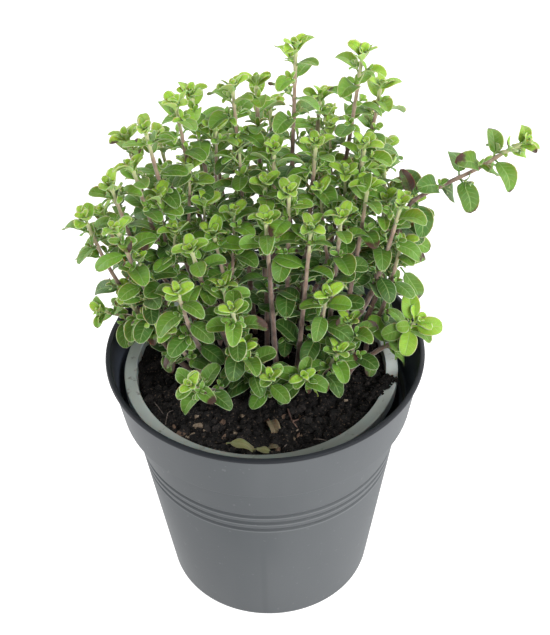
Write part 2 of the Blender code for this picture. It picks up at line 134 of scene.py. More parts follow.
# How far from its middle each is full, and where it has faded out: the painted shade in a groove, the
# painted highlight line under an edge, and the painted shade running down the front
GROOVE_SHADE = (0.0005, 0.0013)
EDGE_HIGHLIGHT_BAND = (0.0001, 0.0004)
STREAK_WIDTH = (0.0005, 0.0022)
NURSERY_SHADES = ((0.46, 0.51, 0.485), (0.56, 0.61, 0.585))
SOIL_DUST = (0.09, 0.07, 0.05)
FLANGE_SHADE_COLOR = (0.105, 0.115, 0.10)
PEAT_SHADES = ((0.0022, 0.0020, 0.0020), (0.0105, 0.0092, 0.0088))
PALE_CLOD = (0.0185, 0.0160, 0.0150)
PALE_CRUMB = (0.110, 0.080, 0.056)
YOUNG_STEM = (0.46, 0.48, 0.24)
PINK_STEM = ((0.24, 0.148, 0.112), (0.35, 0.27, 0.185))
WOODY_STEM = ((0.130, 0.076, 0.060), (0.27, 0.180, 0.140))
# Name, dark and light
BARK_LOOKS = (
    ("Dark_bark", (0.055, 0.032, 0.022), (0.130, 0.082, 0.055)),
    ("Pale_bark", (0.12, 0.085, 0.055), (0.24, 0.19, 0.14)),
)
ROOT_LOOKS = (
    ("Root_fibre", (0.075, 0.060, 0.055), (0.16, 0.13, 0.11)),
    ("Twig", (0.055, 0.030, 0.024), (0.17, 0.105, 0.080)),
)
WOOL_LOOK = ("Stem_wool", (0.50, 0.47, 0.38), (0.66, 0.65, 0.55))

# Looks of the leaves: name, colour when young, grown and old, of veins, margin and stains, and how far
# the veins are sunk or, below 0, stand out
LEAF_TOP_LOOK = (
    "Leaf_top",
    (0.27, 0.45, 0.035),
    (0.121, 0.257, 0.024),
    (0.045, 0.120, 0.0155),
    (0.30, 0.43, 0.14),
    (0.44, 0.53, 0.29),
    (0.055, 0.028, 0.018),
    0.8,
)
LEAF_UNDER_LOOK = (
    "Leaf_underside",
    (0.32, 0.46, 0.12),
    (0.20, 0.31, 0.11),
    (0.13, 0.21, 0.085),
    (0.38, 0.48, 0.22),
    (0.42, 0.52, 0.28),
    (0.09, 0.05, 0.035),
    -1.0,
)
FALLEN_LOOK = (
    "Fallen_leaf",
    (0.24, 0.33, 0.050),
    (0.15, 0.16, 0.065),
    (0.105, 0.080, 0.046),
    (0.25, 0.22, 0.12),
    (0.20, 0.17, 0.10),
    (0.075, 0.050, 0.032),
    -0.6,
)
# Where a midrib and the side veins fade out, across a blade and across the step between side veins
MIDRIB = (0.012, 0.045)
SIDE_VEIN = (0.03, 0.13)
SIDE_VEIN_ENDS = (0.48, 0.20)
SIDE_VEINS = 7.5  # along a blade
VEIN_SLANT = 0.34

# Stems, as in the part's own source
SOIL_TOP = 0.1232
SOIL_EDGE_TOP = 0.1222
BURIED = 0.0120
SOIL_COLLAR = 0.0020
STEM_FOOT_RADIUS = 0.0015
STEM_TIP_RADIUS = 0.0008
STEM_STEPS = 5
STEM_SPACING = 0.0036
SPREAD_ROUNDS = 25
SPREAD_SLACK = 0.0002
PARALLEL = 1e-15
GOLDEN_ANGLE = 2.4

# Leaves, as in the part's own source, in crosswise pairs that are counted down from a stem's tip, from 0
LEAF_THICKNESS = 0.00068
LEAF_CLEARANCE = 0.00036
LEAF_REACH = 0.002
LEAF_SECTIONS = ((0.28, 0.09), (0.64, 0.50), (0.96, 0.23))
LEAF_RISE = 0.30
LEAF_DROOP = 0.42
LEAF_ROOT = 0.0002
LEAF_LENGTHS = (0.0095, 0.0125, 0.0140, 0.0145, 0.0150)
LEAF_LENGTH_SPREAD = (0.88, 1.08)
LEAF_WIDTHS = (0.55, 0.63)
LEAF_LIFTS = (48, 30, 20, 14, 10)
LEAF_SWING = 8
LIGHT_TILT = 0.7
FIRST_PAIR = 0.0012
PAIR_STEP = 0.0047
PAIR_STEP_GROWTH = 0.00075
MODELLED_PAIRS = (0, 1, 3, 5)
LOWEST_LEAF = 0.1275
RIM_INNER, RIM_OUTER, RIM_TOP = 0.0712, 0.0762, 0.1392
FIRST_OUTER_PAIR = 3
DOME_MIDDLE = Vector((0.005, 0.015, 0.125))
DOME_RADII = Vector((0.085, 0.080, 0.145))
DOME_CORE = 0.64
# What a leaf tries until it is clear of its neighbours: a shorter length, and degrees of lift and turn
TRIAL_SIZES = (1.0, 0.85, 0.72)
TRIAL_LIFTS = (0, 14, -14, 26)
TRIAL_TURNS = (0, 16, -16, 32, -32)

# Fine blades: a leaf's parts from its stalk's foot, and places across it from margin to margin
BLADE_ROWS = (0, 0.09, 0.17, 0.23, 0.31, 0.42, 0.54, 0.67, 0.79, 0.89, 0.96)
BLADE_COLUMNS = (-1, -0.88, -0.5, -0.13, 0, 0.13, 0.5, 0.88, 1)
SMALL_ROWS = (0, 0.15, 0.35, 0.60, 0.82, 0.95)
SMALL_COLUMNS = (-1, -0.55, 0, 0.55, 1)
STALK_PART = 0.17
STALK_BLEND = 0.08
STALK_RADIUS = 0.00042
BLADE_PEAK = 0.765
BLADE_BASE_POWER = 0.38
BLADE_TIP_POWER = 1.85
BLADE_THICKNESS = 0.00032
CURL_START = 0.60
FOLD_ROUNDING = 0.0004
WAVES = 1.6
RIB_WIDTH = 0.07
RIB_SUNK = 0.00010
RIB_PROUD = 0.00022
MARGIN_WIDTH = 0.0006
TIP_MARGIN = 0.9
STAIN_BLEND = 0.25
# Ages run from 0 to 1, and a fold is a slope on each side of the midrib
YOUNGEST, PAIR_AGEING, DEPTH_AGEING, AGE_SWING = 0.06, 0.13, 0.38, 0.08
FIRST_FOLD, PAIR_UNFOLDING, LEAST_FOLD = 0.50, 0.08, 0.12
FOLD_SPREAD = (-0.12, 0.16)
CUPS = (-0.75, 0.55)
CURLS = (-0.3, 1.7)
MOST_TWIST = 0.65
MOST_WAVE = 0.035
BLOTCHES = (0.6, 1.0)
BLOTCH_STARTS = (0.55, 0.85)
LEAF_TOP, LEAF_UNDER, STEM, WOOL = range(4)  # material slots of a leafy stem
MOST_PAIRS = 13
ROOM_CLEARANCE = -0.0001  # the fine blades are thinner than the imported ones
# By pair, how many of the leaves are missing
BARE_PARTS = (0.0, 0.0, 0.02, 0.08, 0.15, 0.20, 0.28, 0.35, 0.40)
LOOSE_STEMS = (*range(9, 17), 36, 37, 41, 48)  # the left ones, with fewer leaves
LOOSE_PART = 0.55
OPEN_STEMS = (3, 4, 5, 6, 7, 8, 35, 47)  # the stems whose bare wood shows at the front
OPEN_WAY = -0.35  # leaves that point further than this to the front would hide it
TOP_LIGHT = 0.250  # height where the leaves are brightest
STAINED_TOP = 0.05  # how many leaves have a brown tip at the top, and how many more of the lowest
STAINED_PART = 0.15
SPRIG_NUMBER = 49  # the long sprig's place among the stems
SPRIG_STAINED = (1, 2, 3, 4, 5)
SPRIG_TWIST, SPRIG_FOLD = 0.25, 0.5  # of the usual twist and fold
SPRIG_FACING = 0.9  # how far its blades turn to the front
SPRIG_WIDENED = 1.12
ROSETTE_NUMBER = 50
ROSETTE_AGES = (0.12, 0.35)
# Broad leaves that hang out at the right, and the low rosette's: stem, root, tip, width, age and the part
# of its length where a stain starts, if it has one
EDGE_LEAVES = (
    (50, (67, -5, 154), (67, 0, 167), 9, 0.22, None),
    (50, (68, -6, 153), (81, -9, 155), 9, 0.16, None),
    (50, (67, -6, 152), (64, -18, 146), 9, 0.14, None),
    (50, (66, -5, 152), (54, -9, 150), 8, 0.45, None),
    (50, (67, -7, 154), (61, -10, 156), 6, 0.20, None),
    (50, (50, -2, 130), (49, -10, 126), 6, 0.60, 0.5),
    (49, (64, 19, 168), (75, 12, 153), 8, 0.60, 0.7),
    (49, (64, 20, 187), (77, 16, 180), 8, 0.55, 0.7),
    (49, (67, 19, 209), (63, 17, 222), 6, 0.90, 0.0),
)
EDGE_LEAF_FORM = {"fold": 0.22, "cup": 0.1, "twist": 0.1}
VIEW_WAY = Vector((0.1, -0.75, 0.65))

# Buds and tufts. A ring is a pair's length and lift, and a bud's fold and age or a tuft's drop.
BUD_RINGS = ((0.0082, 50, 0.42, 0.08), (0.0060, 66, 0.60, 0.04), (0.0040, 78, 0.85, 0.0))
BUD_WIDENED = 1.15
BUD_RING_STEP = 0.0004
BUD_SWING = 0.2
BUD_SIZES = (0.85, 1.15)
BUD_LIFT_SWING = 8
BUD_CUP = -0.3
SMALL_WIDTHS = (0.50, 0.62)
FIRST_TUFT = 1
TUFT_PART = 0.75
TUFT_REACH = (0.0018, 0.0045)
TUFT_RINGS = ((0.0052, 28, 0.35), (0.0036, 60, 0.0))
TUFT_LEANS = (0.5, 0.9)
TUFT_OFFSET = 0.0006
TUFT_RADII = (0.00045, 0.00035)
TUFT_SIZES = (0.8, 1.25)
TUFT_LIFT_SWING = 12

# Fine stems
STEM_RING_STEP = 0.0035
NODE_RINGS = (-0.0016, -0.0008, 0, 0.0008, 0.0016)
CLOSEST_RINGS = 0.0003
STEM_SIDES = 12
SQUARENESS = 0.14
NODE_SWELL = 0.28
NODE_LENGTH = 0.0010
STEM_ROUGHNESS = 0.04
STEM_POINT = 0.6
STEM_AGEING = 0.052  # a stem is old and woody this far below its tip

# Woolly hairs on the stems
HAIRS_PER_METRE = 3600
HAIR_LENGTHS = (0.00020, 0.00050)
HAIR_RADIUS = 0.00002
HAIR_LEAN = 0.5  # how far the hairs lean to the shoot's tip
HAIR_SWAY = 0.4
HAIR_CORNERS = (0.0, 2.1, 4.2)

# Soil
SOIL_BUMP = 0.0011
SOIL_WAVES = ((190, 160, 0.7, 0.5), (190, -160, 1.1, 0.5), (90, -310, 0.0, 0.6))
SOIL_RINGS = 80
SOIL_SEGMENTS = 200
RING_CROWDING = 0.8
SOIL_FOOT_GAP = 0.0003
ROUGH_HEIGHT, ROUGH_SCALE, ROUGH_FRACTAL = 0.0014, 170, (0.8, 2.1, 5)
LUMP_HEIGHT, LUMP_SCALE = 0.0010, 420
CLODS = 3100
CLOD_SIZES = (0.0003, 0.0024)
COARSE_CLOD = 0.0011  # larger ones get more faces
CLOD_REACH = 0.985
CLOD_LIFT = 0.25
CLOD_TILT = 0.5
CLOD_NOISES = ((0.6, 1.3), (0.4, 3.3))
CHIPS = 30
CHIP_SIZES = (0.0007, 0.0019)
CHIP_REACH = 0.95
CHIP_LIFT = 0.0005  # of its middle above the soil
CHIP_STRETCH = (0.25, 0.6)
CHIP_FLATNESS = 0.3
ROOTS = 12
ROOT_REACH = 0.85
FIBRE_SIDES = 5
FIBRE_TAPER = 0.6
FIBRE_LIFTS = (0.0001, 0.0012)
FIBRE_BEND = 0.7
FIBRE_STRIDES = (0.0015, 0.0030)
FIBRE_RADII = (0.00008, 0.00018)

# What lies on the soil, in whole millimetres from the pots' middle
TWIGS = (((10, -29), (11, -34), (12, -38), (14, -41)), ((12, -38), (15, -35), (17, -32)))
TWIG_RADIUS = 0.00042
TWIG_LIFTS = (0.0010, 0.0022)
ROOT_RUNS = (
    ((-52, -22), (-50, -26), (-47, -30)),
    ((-46, -36), (-46, -32), (-45, -29), (-41, -27)),
    ((-17, -33), (-17, -35), (-17, -37)),
    ((9, -50), (8, -53), (8, -56)),
    ((21, -48), (24, -49), (27, -49)),
)
ROOT_RADIUS = 0.00026
ROOT_LIFTS = (0.0006, 0.0016)
# Place, heading in degrees, length and width in millimetres, fold, curl and age
FALLEN_LEAVES = (
    ((1, -35), -72, 12, 5.5, 1.3, 7.0, 1.0),
    ((17, -8), -52, 14, 7.5, 0.8, 2.0, 0.0),
    ((-18, -51), -14, 13, 6.0, 0.5, 1.6, 0.45),
    ((-6, -54), -8, 9, 4.5, 0.3, 1.5, 0.5),
    ((6, -53), 160, 6, 4.0, 0.5, 2.5, 1.0),
)
FALLEN_WAY = (1, 0, 0.12)
FALLEN_LIFT = 0.0010
FALLEN_FORM = {"blotch": 0.5, "cup": -0.8, "wave": 0.09}
# Place, size in tenths of a millimetre, and 1 if it is a pale one
CRUMBS = (
    ((-31, -39), 26, 1), ((-34, -44), 24, 1), ((-32, -45), 15, 0), ((-39, -43), 22, 0), ((-36, -45), 14, 1),
    ((-32, -33), 13, 1), ((-36, -29), 12, 1), ((-20, -37), 20, 0), ((-11, -32), 15, 1), ((-13, -44), 13, 1),
    ((16, -33), 18, 0), ((8, -33), 17, 0), ((16, -44), 13, 1), ((14, -42), 8, 1), ((5, -54), 18, 0),
    ((37, -23), 12, 1), ((-42, -38), 13, 0), ((-28, -41), 11, 1),
)
CRUMB_LIFT = 0.0008
CRUMB_STRETCH = (0.45, 0.8)
CRUMB_FLATNESS = 0.4
SPILL_START, SPILL_END = (48, -25), (59, -12)
SPILL_REACH = 3.2  # millimetres
SPILL_CLODS = 150
SPILL_TOP = 0.1262
SPILL_HEAP = 0.0016
SPILL_SIZES = (0.0004, 0.0013)

# Each stem's foot, its tip, and how far it bows out: whole millimetres, and the bow as a part of the reach
FRONT_STEMS = (
    ((-18, -13), (-32, -42, 152), 0.25),
    ((-8, -5), (-13, -32, 185), 0.20),
    ((-24, 0), (-36, -28, 192), 0.25),
    ((5, 0), (2, -8, 214), 0.00),
    ((15, -3), (21, -12, 212), 0.00),
    ((29, 10), (34, -8, 215), 0.10),
    ((40, 18), (60, 0, 215), 0.20),
    ((-14, 5), (-30, -15, 205), 0.15),
    ((-10, 13), (-21, 0, 202), 0.10),
)
LEFT_STEMS = (
    ((-31, 5), (-61, -12, 214), 0.25),
    ((-38, 13), (-76, 0, 211), 0.35),
    ((-37, 21), (-70, 12, 206), 0.35),
    ((-33, 28), (-75, 10, 152), 0.00),
    ((-26, 12), (-54, 5, 234), 0.20),
    ((-31, 15), (-64, 4, 226), 0.30),
    ((-29, 22), (-58, 25, 236), 0.25),
    ((-22, 19), (-48, 12, 248), 0.20),
)
TOP_STEMS = (
    ((-17, 26), (-35, 20, 255), 0.15),
    ((-12, 33), (-29, 32, 253), 0.15),
    ((-5, 27), (-11, 30, 257), 0.10),
    ((1, 35), (-1, 36, 256), 0.05),
    ((10, 24), (16, 25, 278), 0.05),
    ((17, 39), (27, 46, 242), 0.10),
    ((24, 27), (44, 30, 271), 0.10),
    ((31, 33), (53, 38, 252), 0.15),
    ((28, 19), (45, 15, 236), 0.15),
    ((34, 7), (46, 5, 221), 0.15),
    ((10, 8), (12, -2, 224), 0.00),
    ((1, 12), (2, 8, 222), 0.05),
    ((4, 19), (6, 17, 233), 0.05),
    ((16, 16), (24, 14, 238), 0.05),
)
BACK_STEMS = (
    ((-10, 42), (-22, 56, 224), 0.20),
    ((3, 43), (5, 63, 228), 0.20),
    ((15, 44), (32, 62, 222), 0.20),
    ((30, 39), (58, 52, 212), 0.25),
    ((39, 27), (68, 28, 196), 0.30),
    ((-21, 35), (-46, 47, 222), 0.25),
    ((-29, 33), (-68, 40, 196), 0.30),
    ((-16, 48), (-36, 74, 190), 0.35),
    ((3, 51), (8, 86, 186), 0.35),
    ((22, 47), (46, 78, 182), 0.35),
)
LOW_STEMS = (
    ((-36, -3), (-52, -8, 160), 0.15),
    ((-27, -8), (-42, -18, 162), 0.15),
    ((-2, -12), (-9, -30, 161), 0.20),
    ((15, -12), (17, -27, 142), 0.20),
    ((25, -8), (33, -18, 148), 0.20),
    ((22, 4), (28, -12, 176), 0.10),
    ((49, 13), (62, 6, 190), 0.20),
    ((-40, 5), (-62, 0, 168), 0.15),
)
BOWED_STEMS = FRONT_STEMS + LEFT_STEMS + TOP_STEMS + BACK_STEMS + LOW_STEMS
SPRIG_ROUTE = (
    (38, 3, 124), (48, 14, 143), (58, 20, 166), (62, 20, 189), (67, 19, 204),
    (77, 17, 213), (93, 12, 226), (105, 9, 237), (111, 8, 241),
)
ROSETTE_ROUTE = ((40, -5, 124), (52, 1, 131), (62, -3, 143), (69, -5, 154))

# Tips of the side branches, which only this scene has, in whole millimetres
BRANCH_TIPS = (
    (2, -32, 146), (39, -8, 156),
    (-25, 12, 210), (-9, 22, 232), (31, 32, 235), (37, 14, 223), (55, 22, 220),
    (-19, 26, 240), (-31, 16, 226), (-44, 6, 218), (-12, 4, 210), (-38, -2, 205),
    (54, 10, 210), (26, 6, 219), (-54, -6, 193), (-17, -20, 188),
)
BRANCH_DROP = 0.045  # how far below its tip a branch leaves its stem
BRANCH_STEPS = 6
BRANCH_BOW = 0.45
BRANCH_RADII = (0.0009, 0.0006)

Stem = namedtuple("Stem", "path tree foot_radius tip_radius tilt owner")
Leaf = namedtuple("Leaf", "root along normal length width")
Placed = namedtuple("Placed", "stem pair leaf tree")
Look = namedtuple("Look", "fold cup curl twist wave phase age blotch blotch_start chance")


# Shader helpers


class Nodes:
    """Builds the nodes of one tree. What a call is given may be a constant or a socket."""

    def __init__(self, tree):
        self.tree = tree

    def put(self, value, socket):
        if isinstance(value, bpy.types.NodeSocket):
            self.tree.links.new(value, socket)
        else:
            socket.default_value = (*value, 1) if socket.type == "RGBA" else value

    def node(self, kind, inputs=None, **settings):
        made = self.tree.nodes.new("ShaderNode" + kind)
        for name, value in settings.items():
            setattr(made, name, value)
        for name, value in (inputs or {}).items():
            self.put(value, made.inputs[name])
        return made

    def math(self, operation, first, second=0.0, third=0.0):
        return self.node("Math", {0: first, 1: second, 2: third}, operation=operation).outputs[0]

    def times(self, first, second):
        return self.math("MULTIPLY", first, second)

    def away(self, value, middle):
        return self.math("ABSOLUTE", self.math("SUBTRACT", value, middle))

    def lacking(self, value):
        """What the value lacks of 1."""
        return self.math("SUBTRACT", 1.0, value)

    def mixed(self, part, first, second):
        """Colour between two colours, by a factor."""
        return self.node("Mix", {0: part, 6: first, 7: second}, data_type="RGBA").outputs[2]

    def tinted(self, color, part, strength, other):
        """The colour with another mixed in, by a mask and its strength."""
        return self.mixed(self.times(part, strength), color, other)

    def ramped(self, value, low, high):
        """0 at low and 1 at high, and smooth between."""
        inputs = {"Value": value, "From Min": low, "From Max": high}
        return self.node("MapRange", inputs, interpolation_type="SMOOTHSTEP").outputs["Result"]

    def band(self, value, middle, full, faded):
        """1 within full of the middle, and 0 further than faded from it."""
        return self.lacking(self.ramped(self.away(value, middle), full, faded))

    def noise(self, scale, detail=2.0, stretch=None):
        """Noise over the object's own metres, with scale in cycles a metre."""
        place = self.node("TexCoord").outputs["Object"]
        if stretch:
            place = self.node("Mapping", {"Vector": place, "Scale": stretch}).outputs[0]
        return self.node("TexNoise", {"Vector": place, "Scale": scale, "Detail": detail}).outputs[0]

    def along_axis(self, axis):
        """The object's own x, y or z in metres."""
        place = self.node("TexCoord").outputs["Object"]
        return self.node("SeparateXYZ", {0: place}).outputs[axis]

    def attribute(self, name):
        return self.node("Attribute", attribute_name=name).outputs["Fac"]


class Surface(Nodes):
    """The nodes of a Principled material, with constants set on the shader's own sockets."""

    def __init__(self, name, roughness, **constants):
        self.material = bpy.data.materials.new(name)
        self.material.use_nodes = True
        super().__init__(self.material.node_tree)
        self.shader = self.tree.nodes["Principled BSDF"]
        self.wear(Roughness=roughness, **constants)

    def wear(self, **values):
        for name, value in values.items():
            self.put(value, self.shader.inputs[name.replace("_", " ")])

    def bumped(self, height, strength, distance):
        inputs = {"Height": height, "Strength": strength, "Distance": distance}
        self.wear(Normal=self.node("Bump", inputs).outputs[0])
        return self.material


# Materials


def cover_material():
    """Dark moulded plastic: dusty grey outside with painted shade and highlight lines, near black on the
    lip, and blue-black inside under painted fill light.
    """
    look = Surface("Cover_pot_plastic", 0.5, Specular_IOR_Level=0.22)
    zone, height = look.attribute("outside"), look.along_axis(2)
    cloud = look.ramped(look.noise(14, 3.0, (1, 1, 0.35)), 0.35, 0.70)
    color = look.mixed(cloud, *COVER_SHADES)
    color = look.tinted(color, look.ramped(look.noise(420, 1.0), 0.70, 0.78), 0.22, COVER_SPECK)
    # Painted shade along each groove's deepest line
    for foot in GROOVES:
        shade = look.band(height, foot + GROOVE_DEEPEST * GROOVE_WIDTH, *GROOVE_SHADE)
        color = look.tinted(color, shade, 0.45, GROOVE_PAINTED_SHADE)
    # A thin painted highlight line just below the collar's foot and each groove's foot
    for edge in (COLLAR_FOOT, *GROOVES):
        edge_highlight = look.band(height, edge - EDGE_DROP, *EDGE_HIGHLIGHT_BAND)
        color = look.tinted(color, edge_highlight, 0.5, EDGE_HIGHLIGHT_COLOR)
    # A faint run of painted shade down the front of the body
    streak = look.band(look.along_axis(0), STREAK_X, *STREAK_WIDTH)
    streak = look.times(streak, look.ramped(height, *STREAK_HEIGHTS))
    color = look.tinted(color, streak, 0.13, STREAK_PAINTED_SHADE)
    # Inside: blue-black plastic lightened with painted fill light; the lip stays near black
    dark = look.mixed(look.ramped(zone, 0.0, LIP_ZONE), COVER_INSIDE_WITH_PAINTED_FILL, COVER_LIP)
    color = look.mixed(look.ramped(zone, LIP_ZONE, 1.0), dark, color)
    low, high = COVER_ROUGHNESS
    rough = look.node("MapRange", {"Value": cloud, "To Min": low, "To Max": high}).outputs["Result"]
    look.wear(Base_Color=color, Roughness=rough)
    return look.bumped(look.noise(900), 0.25, 0.00012)


def nursery_material():
    """Thin pale grey-green plastic, with soil dust on it and painted shade on its front."""
    look = Surface(
        "Nursery_pot_plastic", 0.4, Specular_IOR_Level=0.5, Subsurface_Weight=0.15, Subsurface_Scale=0.002
    )
    color = look.mixed(look.noise(60, 3.0), *NURSERY_SHADES)
    color = look.tinted(color, look.ramped(look.noise(330, 4.0), 0.58, 0.72), 0.65, SOIL_DUST)
    # Painted shade darkens the flange's front, where the cover pot's lip shades it
    color = look.tinted(color, look.ramped(look.along_axis(1), *FLANGE_SHADE_SPAN), 0.85, FLANGE_SHADE_COLOR)
    look.wear(Base_Color=color)
    return look.bumped(look.noise(700), 0.15, 0.0001)


def soil_material():
    """Moist black-brown peat, with some paler clods and crumbs."""
    look = Surface("Peat_soil", 0.92, Specular_IOR_Level=0.25)
    color = look.mixed(look.ramped(look.noise(260, 5.0), 0.35, 0.70), *PEAT_SHADES)
    color = look.mixed(look.ramped(look.attribute("chance"), 0.72, 1.0), color, PALE_CLOD)
    color = look.tinted(color, look.ramped(look.noise(1000, 3.0), 0.60, 0.70), 0.75, PALE_CRUMB)
    look.wear(Base_Color=color)
    return look.bumped(look.noise(1100, 6.0), 0.9, 0.0008)


def debris_material(name, dark, light):
    """Bark, root or wool: streaked between two colours."""
    look = Surface(name, 0.8, Specular_IOR_Level=0.3)
    streaks = look.noise(700, 4.0, (1, 0.3, 1))
    look.wear(Base_Color=look.mixed(look.ramped(streaks, 0.3, 0.7), dark, light))
    return look.bumped(streaks, 0.5, 0.0003)


def stem_material():
    """Pinkish-brown and woody low down, pale green and woolly near the tip."""
    look = Surface(
        "Marjoram_stem", 0.75, Specular_IOR_Level=0.3, Sheen_Weight=0.5, Sheen_Roughness=0.5
    )
    blotches = look.noise(420, 4.0, (1, 1, 0.45))
    blotched = look.ramped(blotches, 0.4, 0.65)
    age = look.math("ADD", look.attribute("age"), look.math("MULTIPLY_ADD", blotches, 0.5, -0.25))
    color = look.mixed(look.ramped(age, 0.02, 0.28), YOUNG_STEM, look.mixed(blotched, *PINK_STEM))
    color = look.mixed(look.ramped(age, 0.35, 0.80), color, look.mixed(blotched, *WOODY_STEM))
    look.wear(Base_Color=color)
    return look.bumped(look.noise(1500, 3.0, (1, 1, 0.3)), 0.5, 0.0002)


def leaf_material(name, young, grown, old, vein, margin, brown, relief):
    """A blade by its own map: age, midrib, side veins, a pale hairy margin with a painted glint, and brown
    blotches.
    """
    look = Surface(
        name,
        0.5,
        Specular_IOR_Level=0.26,
        Sheen_Weight=0.06,
        Sheen_Roughness=0.45,
        Subsurface_Weight=0.22,
        Subsurface_Scale=0.0010,
    )
    blade = look.node("UVMap", uv_map="Blade").outputs[0]
    split = look.node("SeparateXYZ", {0: blade}).outputs
    across, along = look.away(split[0], 0.5), split[1]
    age, cells = look.attribute("age"), look.noise(650, 4.0)

    color = look.mixed(look.ramped(age, 0.0, 0.35), young, grown)
    color = look.mixed(look.ramped(age, 0.35, 1.0), color, old)
    light = look.math("MULTIPLY_ADD", cells, 0.45, 0.56)
    light = look.math("MULTIPLY_ADD", look.attribute("chance"), 0.42, light)
    color = look.node("HueSaturation", {"Color": color, "Value": light}).outputs[0]

    midrib = look.lacking(look.ramped(across, *MIDRIB))
    slant = look.math("SUBTRACT", along, look.times(across, VEIN_SLANT))
    crest = look.away(look.math("FRACT", look.times(slant, SIDE_VEINS)), 0.5)
    side_vein = look.lacking(look.ramped(crest, *SIDE_VEIN))
    side_vein = look.times(side_vein, look.ramped(across, *SIDE_VEIN_ENDS))
    veins = look.math("MAXIMUM", midrib, look.times(side_vein, 0.45))
    color = look.tinted(color, veins, 0.5, vein)

    # The pale margin is partly the hairs' own colour and partly a painted glint of light on them
    edge = look.lacking(look.ramped(look.attribute("rim"), 0.15, 0.75))
    color = look.tinted(color, edge, 0.80, margin)
    patch = look.math("ADD", look.attribute("blotch"), look.times(cells, 0.5))
    look.wear(Base_Color=look.mixed(look.ramped(patch, 0.55, 0.85), color, brown))

    height = look.times(look.lacking(veins), relief)
    height = look.math("ADD", height, look.times(cells, 0.25))
    return look.bumped(height, 0.6, 0.0003)


# Pieces


def settled(obj, replaced=None):
    """Puts a piece in the scene. It rides on the part's one body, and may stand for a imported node."""
    bpy.context.scene.collection.objects.link(obj)
    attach(obj, "root")
    if replaced:
        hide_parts(replaced)


class Growth:
    """Gathers stems, blades and crumbs, with what their materials read, and makes them one piece."""

    FIELDS = ("age", "rim", "blotch", "chance")

    def __init__(self):
        self.points, self.faces, self.slots, self.maps = [], [], [], []
        self.fields = {name: [] for name in self.FIELDS}
        self.count = 0

    def add(self, points, faces, slot, blade_map=None, **fields):
        points = np.asarray(points, float)
        self.points.append(points)
        self.faces += [tuple(int(i) + self.count for i in face) for face in faces]
        self.slots += [slot] * len(faces) if isinstance(slot, int) else list(slot)
        self.maps.append(np.zeros((len(points), 2)) if blade_map is None else blade_map)
        for name, values in self.fields.items():
            values.append(np.broadcast_to(fields.get(name, 0.0), len(points)).astype(np.float32))
        self.count += len(points)

    def piece(self, name, materials, slot, replaced=None, smooth=True):
        mesh = bpy.data.meshes.new(name)
        mesh.from_pydata(np.concatenate(self.points), [], self.faces)
        mesh.polygons.foreach_set("material_index", self.slots)
        for field, values in self.fields.items():
            layer = mesh.attributes.new(field, "FLOAT", "POINT")
            layer.data.foreach_set("value", np.concatenate(values))
        corners = np.empty(len(mesh.loops), np.int32)
        mesh.loops.foreach_get("vertex_index", corners)
        layer = mesh.uv_layers.new(name="Blade")
        layer.data.foreach_set("uv", np.concatenate(self.maps)[corners].astype(np.float32).ravel())
        for material in materials:
            mesh.materials.append(material)
        if smooth:
            mesh.shade_smooth()
        settled(bpy.data.objects.new(name, mesh), replaced)


# Turned pots


def rounded(profile):
    """Points along corners given as (radius, height, rounding), each with its corner's number."""
    made = []
    for i, (radius, height, rounding) in enumerate(profile):
        corner = Vector((radius, height))
        if not rounding:
            made.append((corner, i))
            continue
        before = (Vector(profile[i - 1][:2]) - corner).normalized() * rounding
        after = (Vector(profile[i + 1][:2]) - corner).normalized() * rounding
        for step in range(PROFILE_ROUNDING_STEPS + 1):
            part = step / PROFILE_ROUNDING_STEPS
            made.append((corner + before * (1 - part) ** 2 + after * part**2, i))
    return made


def circle(count, radius, middle_x=0.0):
    """Level points round an upright axis."""
    for i in range(count):
        angle = 2 * math.pi * i / count
        yield middle_x + radius * math.cos(angle), radius * math.sin(angle)


def turned(name, profile, material, replaced, middle_x=0.0, lip_corners=range(0)):
    """A pot turned about its axis. Its lip lies between its inside and its outside."""
    bm = bmesh.new()
    outside = bm.verts.layers.float.new("outside")
    rings = []
    for (radius, height), corner in rounded(profile):
        if radius < POT_AXIS:
            rings.append([bm.verts.new((middle_x, 0, height))] * POT_SEGMENTS)
            continue
        places = circle(POT_SEGMENTS, radius, middle_x)
        rings.append([bm.verts.new((*place, height)) for place in places])
        zone = LIP_ZONE if corner in lip_corners else float(corner >= lip_corners.stop)
        for vertex in rings[-1]:
            vertex[outside] = zone
    for upper, lower in zip(rings, rings[1:]):
        for i in range(POT_SEGMENTS):
            j = (i + 1) % POT_SEGMENTS
            bm.faces.new(list(dict.fromkeys((upper[i], lower[i], lower[j], upper[j]))))
    bmesh.ops.recalc_face_normals(bm, faces=bm.faces)
    mesh = bpy.data.meshes.new(name)
    bm.to_mesh(mesh)
    bm.free()
    mesh.materials.append(material)
    mesh.shade_smooth()
    settled(bpy.data.objects.new(name, mesh), replaced)


def body_radius(height):
    """Outer radius of the cover pot's tapered body."""
    return BODY_FOOT_RADIUS + (BODY_TOP_RADIUS - BODY_FOOT_RADIUS) * height / BODY_TOP


